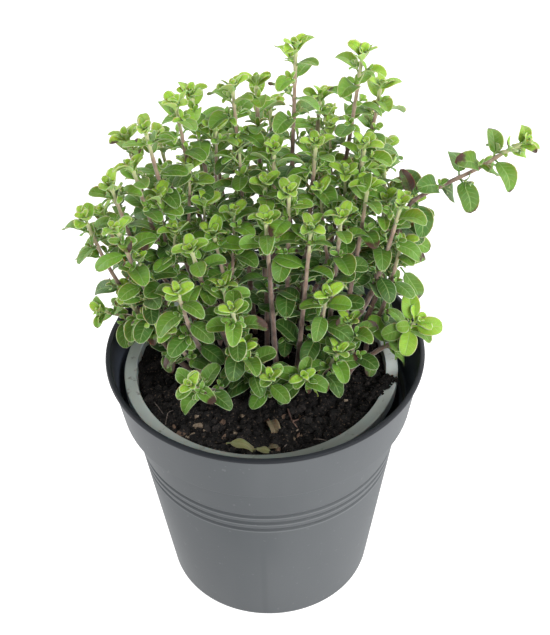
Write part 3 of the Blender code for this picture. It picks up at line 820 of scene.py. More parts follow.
def cover_pot():
    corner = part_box("cover_pot")[1]
    lip_radius, top = corner.x, corner.z
    lip_foot = top - LIP_TALL
    profile = [
        (0, COVER_FLOOR, 0),
        (BODY_FOOT_RADIUS - COVER_WALL, COVER_FLOOR, COVER_FLOOR_ROUNDING),
        (BODY_TOP_RADIUS - COVER_WALL, BODY_TOP - COVER_WALL, COVER_BEND_ROUNDING),
        (COLLAR_FOOT_RADIUS - COVER_WALL, COLLAR_FOOT, COVER_BEND_ROUNDING),
        (lip_radius - LIP_WIDTH, top, LIP_ROUNDING),
        (lip_radius, top, LIP_ROUNDING),
        (lip_radius, lip_foot, COVER_BEND_ROUNDING),
        (COLLAR_TOP_RADIUS, lip_foot, WALL_ROUNDING),
        (COLLAR_FOOT_RADIUS, COLLAR_FOOT, COVER_BEND_ROUNDING),
        (BODY_TOP_RADIUS, BODY_TOP, BODY_TOP_ROUNDING),
    ]
    for foot in GROOVES:
        groove_top = foot + GROOVE_WIDTH
        deepest = foot + GROOVE_DEEPEST * GROOVE_WIDTH
        profile += [
            (body_radius(groove_top), groove_top, GROOVE_ROUNDING),
            (body_radius(deepest) - GROOVE_DEPTH, deepest, GROOVE_ROUNDING),
            (body_radius(foot), foot, GROOVE_ROUNDING),
        ]
    profile += [(body_radius(0), 0, BASE_ROUNDING), (0, 0, 0)]
    turned("Cover_pot", profile, cover_material(), "cover_pot", lip_corners=range(4, 7))


def nursery_pot():
    low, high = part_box("nursery_pot")
    outer = (high.x - low.x) / 2
    top, bottom = high.z, low.z
    floor = bottom + NURSERY_WALL
    profile = [
        (0, floor, 0),
        (NURSERY_FOOT_RADIUS - NURSERY_WALL, floor, NURSERY_FOOT_ROUNDING),
        (FLANGE_INNER_RADIUS, top, FLANGE_ROUNDING),
        (outer, top, FLANGE_ROUNDING),
        (outer, top - SKIRT, SKIRT_ROUNDING),
        (outer - NURSERY_WALL, top - SKIRT, SKIRT_ROUNDING),
        (outer - NURSERY_WALL, top - NURSERY_WALL, WALL_ROUNDING),
        (FLANGE_INNER_RADIUS + NURSERY_WALL, top - NURSERY_WALL, WALL_ROUNDING),
        (NURSERY_FOOT_RADIUS, bottom, NURSERY_FOOT_ROUNDING),
        (0, bottom, 0),
    ]
    turned("Nursery_pot", profile, nursery_material(), "nursery_pot", (low.x + high.x) / 2)


# Stems: where they run


def bent_path(start, reach, bow, steps):
    """Points that reach out first and then turn up."""
    points = []
    for i in range(steps + 1):
        part = i / steps
        bend = bow * part * (1 - part)
        out, up = part + bend, part - bend
        points.append(start + Vector((reach.x * out, reach.y * out, reach.z * up)))
    return points


def bowed_path(foot, tip, bow):
    """Points from a stem's foot at the soil to its tip."""
    start = Vector((foot[0] * MM, foot[1] * MM, SOIL_TOP + SOIL_COLLAR))
    return bent_path(start, Vector(tip) * MM - start, bow, STEM_STEPS)


def routed_path(route):
    points = [Vector(point) * MM for point in route]
    points[0].z = SOIL_TOP + SOIL_COLLAR
    return points


def clamped(value):
    return max(0.0, min(1.0, value))


def nearest_parts(first_start, first_step, second_start, second_step):
    """How far along two straight pieces of stem, from 0 to 1, they come nearest each other."""
    between = first_start - second_start
    one, two = first_step.length_squared, second_step.length_squared
    both = first_step.dot(second_step)
    on_first, on_second = first_step.dot(between), second_step.dot(between)
    spread = one * two - both * both
    first = clamped((both * on_second - on_first * two) / spread) if spread > PARALLEL else 0.0
    second = clamped((both * first + on_second) / two)
    return clamped((both * second - on_first) / one), second


def part_pair(first, second):
    """Pushes two stems level apart wherever they are nearer than they may be."""
    moved = False
    for a in range(len(first) - 1):
        for b in range(len(second) - 1):
            first_step, second_step = first[a + 1] - first[a], second[b + 1] - second[b]
            reach = first_step.length + second_step.length + STEM_SPACING
            if (first[a] - second[b]).length > reach:
                continue
            on_first, on_second = nearest_parts(first[a], first_step, second[b], second_step)
            apart = first[a] + first_step * on_first - second[b] - second_step * on_second
            if apart.length >= STEM_SPACING:
                continue
            push = Vector((apart.x, apart.y, 0)).normalized()
            push *= 0.5 * (STEM_SPACING - apart.length) + SPREAD_SLACK
            for path, index, part, sign in ((first, a, on_first, 1), (second, b, on_second, -1)):
                path[index] += push * sign * min(1.0, 2 * (1 - part))
                path[index + 1] += push * sign * min(1.0, 2 * part)
            moved = True
    return moved


def stem_paths():
    """Every stem's points from the soil up, with those that come too near each other moved apart."""
    paths = [bowed_path(*stem) for stem in BOWED_STEMS]
    paths += [routed_path(SPRIG_ROUTE), routed_path(ROSETTE_ROUTE)]
    for _ in range(SPREAD_ROUNDS):
        moved = [part_pair(a, b) for i, a in enumerate(paths) for b in paths[i + 1 :]]
        if not any(moved):
            break
    return paths


def tube_tree(points, radii, tilt):
    """Search tree of the square tube that stands along the points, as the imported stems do."""
    curve = bpy.data.curves.new("Tube", "CURVE")
    curve.dimensions = "3D"
    curve.bevel_depth = 1.0
    curve.bevel_resolution = 0
    curve.use_fill_caps = True
    spline = curve.splines.new("POLY")
    spline.points.add(len(points) - 1)
    for knot, point, radius in zip(spline.points, points, radii):
        knot.co = (*point, 1)
        knot.radius = radius
        knot.tilt = tilt
    obj = bpy.data.objects.new("Tube", curve)
    bpy.context.scene.collection.objects.link(obj)
    bpy.context.view_layer.update()
    graph = bpy.context.evaluated_depsgraph_get()
    mesh = bpy.data.meshes.new_from_object(obj.evaluated_get(graph))
    tree = BVHTree.FromPolygons([v.co for v in mesh.vertices], [p.vertices for p in mesh.polygons])
    bpy.data.objects.remove(obj)
    bpy.data.curves.remove(curve)
    bpy.data.meshes.remove(mesh)
    return tree


def buried_foot(path):
    """The point in the soil where a main stem starts."""
    return Vector((path[0].x, path[0].y, SOIL_TOP - BURIED))


def main_stem(number, path):
    points = [buried_foot(path)] + path
    last = len(points) - 2
    radii = [
        STEM_FOOT_RADIUS + (STEM_TIP_RADIUS - STEM_FOOT_RADIUS) * max(0, i - 1) / last
        for i in range(len(points))
    ]
    tilt = number * GOLDEN_ANGLE
    return Stem(path, tube_tree(points, radii, tilt), STEM_FOOT_RADIUS, STEM_TIP_RADIUS, tilt, number)


def at_height(path, height):
    """The point where a path passes a height, and where it is nearest it if it doesn't."""
    for start, end in zip(path, path[1:]):
        if start.z <= height <= end.z:
            return start.lerp(end, (height - start.z) / (end.z - start.z))
    return path[0] if height < path[0].z else path[-1]


def branch(number, tip, stems):
    """A side branch to a tip, which leaves the nearest main stem some way below it and turns up."""
    tip = Vector(tip) * MM
    foot_height = max(SOIL_TOP + 2 * SOIL_COLLAR, tip.z - BRANCH_DROP)
    feet = [at_height(stem.path, foot_height) for stem in stems]
    owner = min(range(len(stems)), key=lambda i: (feet[i] - tip).length)
    points = bent_path(feet[owner], tip - feet[owner], BRANCH_BOW, BRANCH_STEPS)
    foot_radius, tip_radius = BRANCH_RADII
    radii = [foot_radius + (tip_radius - foot_radius) * i / BRANCH_STEPS for i in range(BRANCH_STEPS + 1)]
    tilt = (number + len(stems)) * GOLDEN_ANGLE
    return Stem(points, tube_tree(points, radii, tilt), foot_radius, tip_radius, tilt, owner)


# Leaves: where they sit


def below_tip(path, distance):
    """The point that far down a stem from its tip, and the direction of growth there."""
    for end, start in zip(reversed(path), reversed(path[:-1])):
        step = end - start
        if distance <= step.length:
            return end - step.normalized() * distance, step.normalized()
        distance -= step.length
    return None, None


def pair_place(pair):
    """Distance of a pair below its stem's tip. The steps between pairs grow downwards."""
    return FIRST_PAIR + PAIR_STEP * pair + PAIR_STEP_GROWTH * pair * pair


def for_pair(values, pair):
    return values[min(pair, len(values) - 1)]


def level_with(way, along):
    """The way, turned square to a blade that points along another."""
    return (way - along * way.dot(along)).normalized()


def leaf_plate(leaf, clearance=0.0):
    """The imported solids' plain blade, with a clearance all round if given, to find room with."""
    side = leaf.along.cross(leaf.normal)
    length = leaf.length + 2 * clearance

    def place(part, half_width):
        lift = length * (LEAF_RISE * part - LEAF_DROOP * part * part)
        base = leaf.root + leaf.along * (length * part - clearance)
        return base + side * half_width + leaf.normal * lift

    bm = bmesh.new()
    last = (bm.verts.new(place(0, 0)),)
    for part, half in LEAF_SECTIONS:
        half_width = half * leaf.width + clearance
        left, right = bm.verts.new(place(part, half_width)), bm.verts.new(place(part, -half_width))
        bm.faces.new((last[0], left, right))
        if len(last) == 2:
            bm.faces.new((last[0], right, last[1]))
        last = (left, right)
    thickness = LEAF_THICKNESS + 2 * clearance
    bmesh.ops.translate(bm, verts=bm.verts, vec=leaf.normal * -thickness / 2)
    bmesh.ops.recalc_face_normals(bm, faces=bm.faces)
    if bm.faces[:][0].normal.dot(leaf.normal) < 0:
        bmesh.ops.reverse_faces(bm, faces=bm.faces)
    bmesh.ops.solidify(bm, geom=bm.faces[:], thickness=-thickness)
    bmesh.ops.recalc_face_normals(bm, faces=bm.faces)
    return bm


def leaf_on(stem, pair, side, turn, lift, shrink, draw):
    """One leaf of a pair. It grows square from a flat of the stem, and the next pair stands crosswise."""
    root, growth = below_tip(stem.path, pair_place(pair))
    if root is None or root.z < LOWEST_LEAF:
        return None
    across = Matrix.Rotation(math.radians(90 * pair + 180 * side), 3, growth) @ growth.orthogonal()
    outward = level_with(stem.tree.ray_cast(root, across)[1], growth)
    turned_by = math.radians(turn + draw.uniform(-LEAF_SWING, LEAF_SWING))
    outward = Matrix.Rotation(turned_by, 3, growth) @ outward
    slope = math.radians(for_pair(LEAF_LIFTS, pair) + lift + draw.uniform(-LEAF_SWING, LEAF_SWING))
    along = outward * math.cos(slope) + growth * math.sin(slope)
    normal = growth * math.cos(slope) - outward * math.sin(slope) + Vector((0, 0, LIGHT_TILT))
    length = for_pair(LEAF_LENGTHS, pair) * shrink * draw.uniform(*LEAF_LENGTH_SPREAD)
    width = length * draw.uniform(*LEAF_WIDTHS)
    return Leaf(root + outward * LEAF_ROOT, along, level_with(normal, along), length, width)


def clear_of_pots(bm):
    """Whether a blade stays above the soil and out of the cover pot's rim."""
    for vertex in bm.verts:
        if vertex.co.z < LOWEST_LEAF:
            return False
        if RIM_INNER < vertex.co.xy.length < RIM_OUTER and vertex.co.z < RIM_TOP:
            return False
    return True


def may_meet(leaf, other):
    return (leaf.root - other.root).length < leaf.length + other.length + LEAF_REACH


def fitting_leaf(stems, number, pair, side, placed, clearance):
    """The leaf at that place, in the first trial where it meets no other stem nor a leaf of one."""
    owner = stems[number].owner
    for shrink, lift, turn in itertools.product(TRIAL_SIZES, TRIAL_LIFTS, TRIAL_TURNS):
        draw = random.Random(f"{number}-{pair}-{side}")
        leaf = leaf_on(stems[number], pair, side, turn, lift, shrink, draw)
        if leaf is None:
            return None
        bm = leaf_plate(leaf, clearance)
        tree = BVHTree.FromBMesh(bm)
        fits = clear_of_pots(bm)
        bm.free()
        if not fits or any(tree.overlap(stem.tree) for stem in stems if stem.owner != owner):
            continue
        if not any(
            old.stem != number and may_meet(leaf, old.leaf) and tree.overlap(old.tree) for old in placed
        ):
            return leaf
    return None


def in_core(leaf):
    """Whether the blade lies deep inside the clump."""
    middle = leaf.root + leaf.along * leaf.length * LEAF_SECTIONS[1][0] - DOME_MIDDLE
    return Vector([middle[axis] / DOME_RADII[axis] for axis in range(3)]).length < DOME_CORE


def kept(stem, pair, leaf):
    plate = leaf_plate(leaf)
    tree = BVHTree.FromBMesh(plate)
    plate.free()
    return Placed(stem, pair, leaf, tree)


def plan_leaves(stems, branches):
    """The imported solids' own leaves first, in their places, and then the others wherever there is room."""
    placed, core = [], set()
    for pair, number, side in itertools.product(MODELLED_PAIRS, range(len(stems)), (0, 1)):
        leaf = fitting_leaf(stems, number, pair, side, placed, LEAF_CLEARANCE)
        if leaf is None:
            continue
        if pair >= FIRST_OUTER_PAIR and in_core(leaf):
            core.add((number, pair, side))
        else:
            placed.append(kept(number, pair, leaf))
    every = stems + branches
    for pair, number, side in itertools.product(range(MOST_PAIRS), range(len(every)), (0, 1)):
        modelled = number < len(stems) and pair in MODELLED_PAIRS
        if modelled and (number, pair, side) not in core:
            continue
        bare = for_pair(BARE_PARTS, pair) + LOOSE_PART * (pair > 1 and number in LOOSE_STEMS)
        if random.Random(f"bare-{number}-{pair}-{side}").random() < bare:
            continue
        leaf = fitting_leaf(every, number, pair, side, placed, ROOM_CLEARANCE)
        if leaf is None or number in OPEN_STEMS and leaf.along.y < OPEN_WAY:
            continue
        placed.append(kept(number, pair, leaf))
    return placed


# Leaves: their fine shape


def blade_half_width(part):
    """Half the blade's width at a part of the leaf's length, as a part of its full width."""
    if part <= STALK_PART:
        return 0.0
    along = (part - STALK_PART) / (1 - STALK_PART)
    return BLADE_PEAK * along**BLADE_BASE_POWER * math.sqrt(max(0.0, 1 - along**BLADE_TIP_POWER))


def blade_faces(rows, columns):
    """Faces of a blade's top and underside, which share their margin and the tip, and the slot of each."""
    upper = np.arange(rows * columns).reshape(rows, columns)
    inner = np.arange(rows * (columns - 2)).reshape(rows, columns - 2) + rows * columns
    lower = upper.copy()
    lower[:, 1:-1] = inner
    tip = rows * columns + inner.size
    faces, slots = [], []
    for grid, slot, way in ((upper, LEAF_TOP, 1), (lower, LEAF_UNDER, -1)):
        quads = np.stack([grid[:-1, :-1], grid[:-1, 1:], grid[1:, 1:], grid[1:, :-1]], -1)
        made = [tuple(quad) for quad in quads.reshape(-1, 4)]
        made += [(grid[-1, i], grid[-1, i + 1], tip) for i in range(columns - 1)]
        faces += [face[::way] for face in made]
        slots += [slot] * len(made)
    foot = tuple(lower[0, ::-1]) + tuple(upper[0, 1:-1])
    return [*faces, foot], [*slots, LEAF_UNDER]


def add_blade(growth, leaf, look, rows=BLADE_ROWS, columns=BLADE_COLUMNS):
    """A stalk and a blade: folded along the midrib, cupped, waved and curled at the tip."""
    part, u = np.array(rows), np.array(columns)
    down = part[:, None]  # the parts of the length as a column, beside u as a row
    half = np.array([blade_half_width(p) for p in rows]) * leaf.width
    half = np.maximum(half, STALK_RADIUS * (1 - 0.5 * part))
    is_blade = np.clip((down - STALK_PART) / STALK_BLEND, 0, 1)
    curled = np.maximum(part - CURL_START, 0)
    lift = LEAF_RISE * part - LEAF_DROOP * part**2 - look.curl * curled**2
    slope = LEAF_RISE - 2 * LEAF_DROOP * part - 2 * look.curl * curled

    along, normal = np.array(leaf.along), np.array(leaf.normal)
    side = np.cross(along, normal)
    middle = np.array(leaf.root) + leaf.length * (np.outer(part, along) + np.outer(lift, normal))
    up = normal - np.outer(slope, along)
    up /= np.linalg.norm(up, axis=1)[:, None]
    twist = look.twist * down
    across = side * np.cos(twist) + up * np.sin(twist)
    up = up * np.cos(twist) - side * np.sin(twist)

    x = np.outer(half, u)
    fold = look.fold * (np.sqrt(x**2 + FOLD_ROUNDING**2) - FOLD_ROUNDING)
    cup = look.cup * x**2 / leaf.width
    beat = np.sin(2 * math.pi * (WAVES * down + look.phase) + np.pi * (u > 0))
    raised = (fold + cup + look.wave * leaf.width * u**2 * beat) * is_blade
    stalk, blade = STALK_RADIUS * 2 * np.sqrt(1 - u**2), BLADE_THICKNESS * (1 - u**4)
    thick = np.where(is_blade < 1, stalk, blade)
    rib = np.exp(-((u / RIB_WIDTH) ** 2)) * is_blade * (1 - down)
    base = middle[:, None] + across[:, None] * x[..., None]
    top = base + up[:, None] * (raised + thick / 2 - RIB_SUNK * rib)[..., None]
    under = base + up[:, None] * (raised - thick / 2 - RIB_PROUD * rib)[..., None]
    tip = middle[-1] + (along + normal * slope[-1]) * leaf.length * (1 - part[-1])
    points = np.concatenate([top.reshape(-1, 3), under[:, 1:-1].reshape(-1, 3), tip[None]])

    from_side = (1 - np.abs(u)) * half[:, None]
    from_tip = (1 - down) * leaf.length * TIP_MARGIN
    rim = np.clip(np.minimum(from_side, from_tip) / MARGIN_WIDTH, 0, 1)
    rim = np.where(is_blade > 0, rim, 1.0)
    stain = look.blotch * np.clip((down - look.blotch_start) / STAIN_BLEND, 0, 1)
    stain = stain * (0.75 + 0.25 * np.sin(u * 2.1 + look.phase * 6))

    def layered(values, at_tip):
        values = np.broadcast_to(values, x.shape)
        return np.concatenate([values.ravel(), values[:, 1:-1].ravel(), [at_tip]])

    growth.add(
        points,
        *blade_faces(*x.shape),
        np.stack([layered((u + 1) / 2, 0.5), layered(down, 1.0)], -1),
        age=look.age,
        rim=layered(rim, 0.0),
        blotch=layered(stain, look.blotch),
        chance=look.chance,
    )


# Stems: their fine shape


def lengths_along(points):
    """How far along a path each of its points lies."""
    return np.concatenate([[0], np.cumsum(np.linalg.norm(np.diff(points, axis=0), axis=1))])


def smooth_points(points, reach, stations):
    """Points along a curve through the given ones, at the given distances along them."""
    padded = np.concatenate([[2 * points[0] - points[1]], points, [2 * points[-1] - points[-2]]])
    made = []
    for station in stations:
        i = int(np.clip(np.searchsorted(reach, station, side="right") - 1, 0, len(reach) - 2))
        t = (station - reach[i]) / (reach[i + 1] - reach[i])
        p0, p1, p2, p3 = padded[i : i + 4]
        squared = 2 * p0 - 5 * p1 + 4 * p2 - p3
        cubed = 3 * p1 - p0 - 3 * p2 + p3
        made.append(0.5 * (2 * p1 + (p2 - p0) * t + squared * t**2 + cubed * t**3))
    return np.array(made)


def tube_faces(rings, sides):
    """Faces round a tube whose rings follow one another, and a cap on its first ring."""
    faces = [tuple(range(sides))[::-1]]
    for ring in range(rings - 1):
        near, far = ring * sides, (ring + 1) * sides
        for i in range(sides):
            j = (i + 1) % sides
            faces.append((near + i, near + j, far + j, far + i))
    return faces


def ring_stations(total, nodes):
    """Where along a stem its rings stand: evenly, and closer round its nodes."""
    stations = set(np.round(np.arange(0, total, STEM_RING_STEP), 5)) | {round(float(total), 5)}
    for node in nodes:
        stations |= {round(float(np.clip(node + away, 0, total)), 5) for away in NODE_RINGS}
    stations = np.array(sorted(stations))
    return stations[np.concatenate([[True], np.diff(stations) > CLOSEST_RINGS])]


def add_stem(growth, stem, leaf_places):
    """A rounded square stem, a little swollen at its nodes, from its foot to its tip."""
    path = stem.path
    if stem.foot_radius == STEM_FOOT_RADIUS:
        path = [buried_foot(path)] + path
    points = np.array(path, float)
    reach = lengths_along(points)
    total = reach[-1]
    nodes = [total - place for place in leaf_places if place < total]
    stations = ring_stations(total, nodes)
    centres = smooth_points(points, reach, stations)
    tangents = np.gradient(centres, axis=0)
    tangents /= np.linalg.norm(tangents, axis=1)[:, None]
    radius = stem.foot_radius + (stem.tip_radius - stem.foot_radius) * (stations / total)
    for node in nodes:
        radius = radius * (1 + NODE_SWELL * np.exp(-(((stations - node) / NODE_LENGTH) ** 2)))
    rng = np.random.default_rng(int(abs(stem.tilt) * 1000))
    radius = radius * (1 + STEM_ROUGHNESS * rng.standard_normal(len(radius)))

    angle = np.arange(STEM_SIDES) * 2 * math.pi / STEM_SIDES
    section = 1 - SQUARENESS * (1 - np.cos(4 * angle)) / 2
    angle = angle + stem.tilt
    frame_x = np.array(Vector(tangents[0]).orthogonal().normalized())
    rings = []
    for centre, tangent, size in zip(centres, tangents, radius):
        frame_x = frame_x - tangent * (frame_x @ tangent)
        frame_x /= np.linalg.norm(frame_x)
        frame_y = np.cross(tangent, frame_x)
        x, y = size * section * np.cos(angle), size * section * np.sin(angle)
        rings.append(centre + np.outer(x, frame_x) + np.outer(y, frame_y))
    tip = centres[-1:] + tangents[-1] * stem.tip_radius * STEM_POINT
    last, end = (len(rings) - 1) * STEM_SIDES, len(rings) * STEM_SIDES
    faces = tube_faces(len(rings), STEM_SIDES)
    faces += [(last + j, last + (j + 1) % STEM_SIDES, end) for j in range(STEM_SIDES)]
    age = np.repeat(np.clip((total - stations) / STEM_AGEING, 0, 1), STEM_SIDES)
    chance = (stem.tilt * 0.37) % 1
    points = np.concatenate([*rings, tip])
    growth.add(points, faces, STEM, age=np.append(age, 0.0), rim=1.0, chance=chance)
    add_hairs(growth, stations, centres, tangents, radius, rng)


def add_hairs(growth, stations, centres, tangents, radius, rng):
    """Fine three-sided spikes all over a stem."""
    count = int(HAIRS_PER_METRE * stations[-1])
    place = rng.uniform(0, stations[-1], count)

    def at_place(values):
        return np.stack([np.interp(place, stations, column) for column in np.atleast_2d(values.T)], -1)

    centre, tangent, reach = at_place(centres), at_place(tangents), at_place(radius)
    out = rng.standard_normal((count, 3))
    out -= tangent * (out * tangent).sum(1)[:, None]
    out /= np.linalg.norm(out, axis=1)[:, None]
    side = np.cross(tangent, out)
    foot = centre + out * reach * (1 - SQUARENESS)
    length = rng.uniform(*HAIR_LENGTHS, count)[:, None] + reach * SQUARENESS
    corners = [foot + HAIR_RADIUS * (math.cos(a) * side + math.sin(a) * tangent) for a in HAIR_CORNERS]
    sway = rng.uniform(-HAIR_SWAY, HAIR_SWAY, (count, 1))
    tip = foot + length * (out + tangent * HAIR_LEAN + side * sway)
    spike = np.array([(0, 1, 3), (1, 2, 3), (2, 0, 3), (2, 1, 0)])
    faces = (4 * np.arange(count)[:, None, None] + spike).reshape(-1, 3)
    growth.add(np.stack([*corners, tip], 1).reshape(-1, 3), faces, WOOL, rim=1.0)


# Leafy stems


def look_of(leaf, pair, name, stained=False):
    """How a leaf is bent and coloured. Young ones are folded and bright, and old ones flat and dark."""
    draw = random.Random(name)
    depth = clamped((TOP_LIGHT - leaf.root.z) / (TOP_LIGHT - LOWEST_LEAF))
    age = YOUNGEST + PAIR_AGEING * pair + DEPTH_AGEING * depth + draw.uniform(-AGE_SWING, AGE_SWING)
    fold = max(LEAST_FOLD, FIRST_FOLD - PAIR_UNFOLDING * pair + draw.uniform(*FOLD_SPREAD))
    is_stained = stained or draw.random() < STAINED_TOP + STAINED_PART * depth
    blotch = draw.uniform(*BLOTCHES) if is_stained else 0.0
    return Look(
        fold=fold,
        cup=draw.uniform(*CUPS),
        curl=draw.uniform(*CURLS),
        twist=draw.uniform(-MOST_TWIST, MOST_TWIST),
        wave=draw.uniform(0.0, MOST_WAVE),
        phase=draw.random(),
        age=clamped(age),
        blotch=blotch,
        blotch_start=draw.uniform(*BLOTCH_STARTS),
        chance=draw.random(),
    )


def small_leaf(root, up, turn, length, lift, draw):
    """A small leaf of a bud or a tuft, turned about the way in which its shoot grows."""
    outward = Matrix.Rotation(turn, 3, up) @ up.orthogonal().normalized()
    slope = math.radians(lift)
    along = outward * math.cos(slope) + up * math.sin(slope)
    normal = up * math.cos(slope) - outward * math.sin(slope)
    return Leaf(root, along, normal, length, length * draw.uniform(*SMALL_WIDTHS))


def add_bud(growth, stem, number):
    """The folded young leaves at a shoot's tip."""
    draw = random.Random(f"bud-{number}")
    end = stem.path[-1]
    up = (end - stem.path[-2]).normalized()
    first_turn = draw.uniform(0, math.pi)
    for ring, (length, lift, fold, age) in enumerate(BUD_RINGS):
        for side in (0, 1):
            turn = first_turn + math.pi * side + ring * math.pi / 2 + draw.uniform(-BUD_SWING, BUD_SWING)
            size = length * draw.uniform(*BUD_SIZES)
            lifted = lift + draw.uniform(-BUD_LIFT_SWING, BUD_LIFT_SWING)
            leaf = small_leaf(end + up * BUD_RING_STEP * ring, up, turn, size, lifted, draw)
            leaf = leaf._replace(width=leaf.width * BUD_WIDENED)
            look = look_of(leaf, 0, f"bud-{number}-{ring}-{side}")
            look = look._replace(fold=fold, cup=BUD_CUP, age=age, blotch=0.0)
            add_blade(growth, leaf, look, SMALL_ROWS, SMALL_COLUMNS)


def add_tuft(growth, leaf, stem_way, name):
    """A tiny side shoot in a leaf's corner: a pair or two of small leaves."""
    draw = random.Random(name)
    outward = level_with(leaf.along, stem_way)
    lean = (outward * draw.uniform(*TUFT_LEANS) + stem_way).normalized()
    foot = leaf.root + outward * TUFT_OFFSET
    reach = draw.uniform(*TUFT_REACH)
    end = foot + lean * reach
    path = [foot, foot.lerp(end, 0.5), end]
    add_stem(growth, Stem(path, None, *TUFT_RADII, draw.uniform(0, 3), 0), [])
    first_turn = draw.uniform(0, math.pi)
    for ring, (length, lift, drop) in enumerate(TUFT_RINGS):
        for side in (0, 1):
            turn = first_turn + math.pi * side + ring * math.pi / 2
            size = length * draw.uniform(*TUFT_SIZES)
            lifted = lift + draw.uniform(-TUFT_LIFT_SWING, TUFT_LIFT_SWING)
            small = small_leaf(end - lean * drop * reach, lean, turn, size, lifted, draw)
            look = look_of(small, 1, f"{name}-{ring}-{side}")
            add_blade(growth, small, look, SMALL_ROWS, SMALL_COLUMNS)


def sprig_leaf(leaf, look):
    """A leaf of the long sprig, which is broader and faces the front."""
    normal = level_with(leaf.normal + VIEW_WAY * SPRIG_FACING, leaf.along)
    look = look._replace(twist=look.twist * SPRIG_TWIST, fold=look.fold * SPRIG_FOLD, cup=abs(look.cup))
    return leaf._replace(normal=normal, width=leaf.width * SPRIG_WIDENED), look


def add_placed(growth, item, path):
    """A leaf in its planned place, with the tuft in its corner if it has one."""
    name = f"{item.stem}-{item.pair}-{round(item.leaf.length * 1e6)}"
    stained = item.stem == SPRIG_NUMBER and item.pair in SPRIG_STAINED
    leaf, look = item.leaf, look_of(item.leaf, item.pair, name, stained)
    if item.stem == SPRIG_NUMBER:
        leaf, look = sprig_leaf(leaf, look)
    if item.stem == ROSETTE_NUMBER:
        if item.pair == 0:
            return
        look = look._replace(age=min(max(look.age, ROSETTE_AGES[0]), ROSETTE_AGES[1]))
    add_blade(growth, leaf, look)
    if item.pair >= FIRST_TUFT and random.Random("tuft" + name).random() < TUFT_PART:
        way = below_tip(path, pair_place(item.pair))[1]
        add_tuft(growth, item.leaf, way, "tuft-" + name)


def add_edge_leaf(growth, number, root, tip, width, age, stain):
    root, tip = Vector(root) * MM, Vector(tip) * MM
    along = (tip - root).normalized()
    leaf = Leaf(root, along, level_with(VIEW_WAY, along), (tip - root).length, width * MM)
    look = look_of(leaf, 2, f"edge-{number}", stain is not None)._replace(age=age, **EDGE_LEAF_FORM)
    look = look._replace(blotch=0.0) if stain is None else look._replace(blotch_start=stain)
    add_blade(growth, leaf, look)


def leafy_stems():
    """One piece for each imported leafy stem, with its side branches, buds and tufts."""
    stems = [main_stem(number, path) for number, path in enumerate(stem_paths())]
    branches = [branch(number, tip, stems) for number, tip in enumerate(BRANCH_TIPS)]
    placed = plan_leaves(stems, branches)
    every = stems + branches
    growths = [Growth() for _ in stems]
    for number, stem in enumerate(every):
        pairs = sorted({item.pair for item in placed if item.stem == number})
        add_stem(growths[stem.owner], stem, [pair_place(pair) for pair in pairs])
        add_bud(growths[stem.owner], stem, number)
    for item in placed:
        stem = every[item.stem]
        add_placed(growths[stem.owner], item, stem.path)
    for number, (owner, *edge_leaf) in enumerate(EDGE_LEAVES):
        add_edge_leaf(growths[owner], number, *edge_leaf)
    materials = [
        leaf_material(*LEAF_TOP_LOOK),
        leaf_material(*LEAF_UNDER_LOOK),
        stem_material(),
        debris_material(*WOOL_LOOK),
    ]
    for number, growth in enumerate(growths, 1):
        replaced = f"leafy_stem_{number:02}"
        growth.piece(f"Leafy_stem_{number:02}_foliage", materials, "marjoram_leaf", replaced)


# Soil and what lies on it


def soil_height(x, y):
    """Height of the soil over its own middle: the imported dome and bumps, with crumbs and hollows."""
    part = min(1.0, math.hypot(x, y) / SOIL_EDGE)
    bump = sum(
        share * math.sin(x * along_x + y * along_y + phase)
        for along_x, along_y, phase, share in SOIL_WAVES
    )
    dome = SOIL_TOP + (SOIL_EDGE_TOP - SOIL_TOP) * part**2 + SOIL_BUMP * bump * (1 - part**6)
    rough = noise.fractal(Vector((x, y, 0.3)) * ROUGH_SCALE, *ROUGH_FRACTAL)
    lumps = noise.noise(Vector((x, y, 7.0)) * LUMP_SCALE)
    return dome + ROUGH_HEIGHT * rough + LUMP_HEIGHT * lumps


def on_soil(x, y, lift):
    """The point that far above the soil, at a place in millimetres from the pots' middle."""
    return Vector((x * MM, y * MM, soil_height(x * MM - SOIL_X, y * MM) + lift))


def scattered(draw, reach):
    """A random place on the soil, within a part of its radius."""
    radius = SOIL_EDGE * math.sqrt(draw.random()) * reach
    angle = draw.uniform(0, 2 * math.pi)
    return radius * math.cos(angle), radius * math.sin(angle)


def soil_piece(materials):
    """The root ball, with a crumbly top of peat clods."""
    growth = Growth()
    turns = SOIL_SEGMENTS
    points = [(SOIL_X, 0, soil_height(0, 0))]
    for ring in range(1, SOIL_RINGS + 1):
        radius = SOIL_EDGE * (ring / SOIL_RINGS) ** RING_CROWDING
        points += [(SOIL_X + x, y, soil_height(x, y)) for x, y in circle(turns, radius)]
    foot_radius = NURSERY_FOOT_RADIUS - NURSERY_WALL - SOIL_FOOT_GAP
    points += [(*place, SOIL_LOW.z) for place in circle(turns, foot_radius, SOIL_X)]
    points.append((SOIL_X, 0, SOIL_LOW.z))
    foot = 1 + SOIL_RINGS * turns
    faces = []
    for i in range(turns):
        j = (i + 1) % turns
        faces.append((0, 1 + i, 1 + j))
        for a in range(1, foot, turns):
            b = a + turns
            faces.append((a + i, b + i, b + j, a + j))
        faces.append((foot + i, len(points) - 1, foot + j))
    growth.add(points, faces, 0)

    draw = random.Random("clods")
    for _ in range(CLODS):
        x, y = scattered(draw, CLOD_REACH)
        size = CLOD_SIZES[0] + (CLOD_SIZES[1] - CLOD_SIZES[0]) * draw.random() ** 3
        place = Vector((SOIL_X + x, y, soil_height(x, y) + size * CLOD_LIFT))
        add_clod(growth, place, size, draw)
    growth.piece("Peat_root_ball", materials, "peat_soil", "soil", smooth=False)


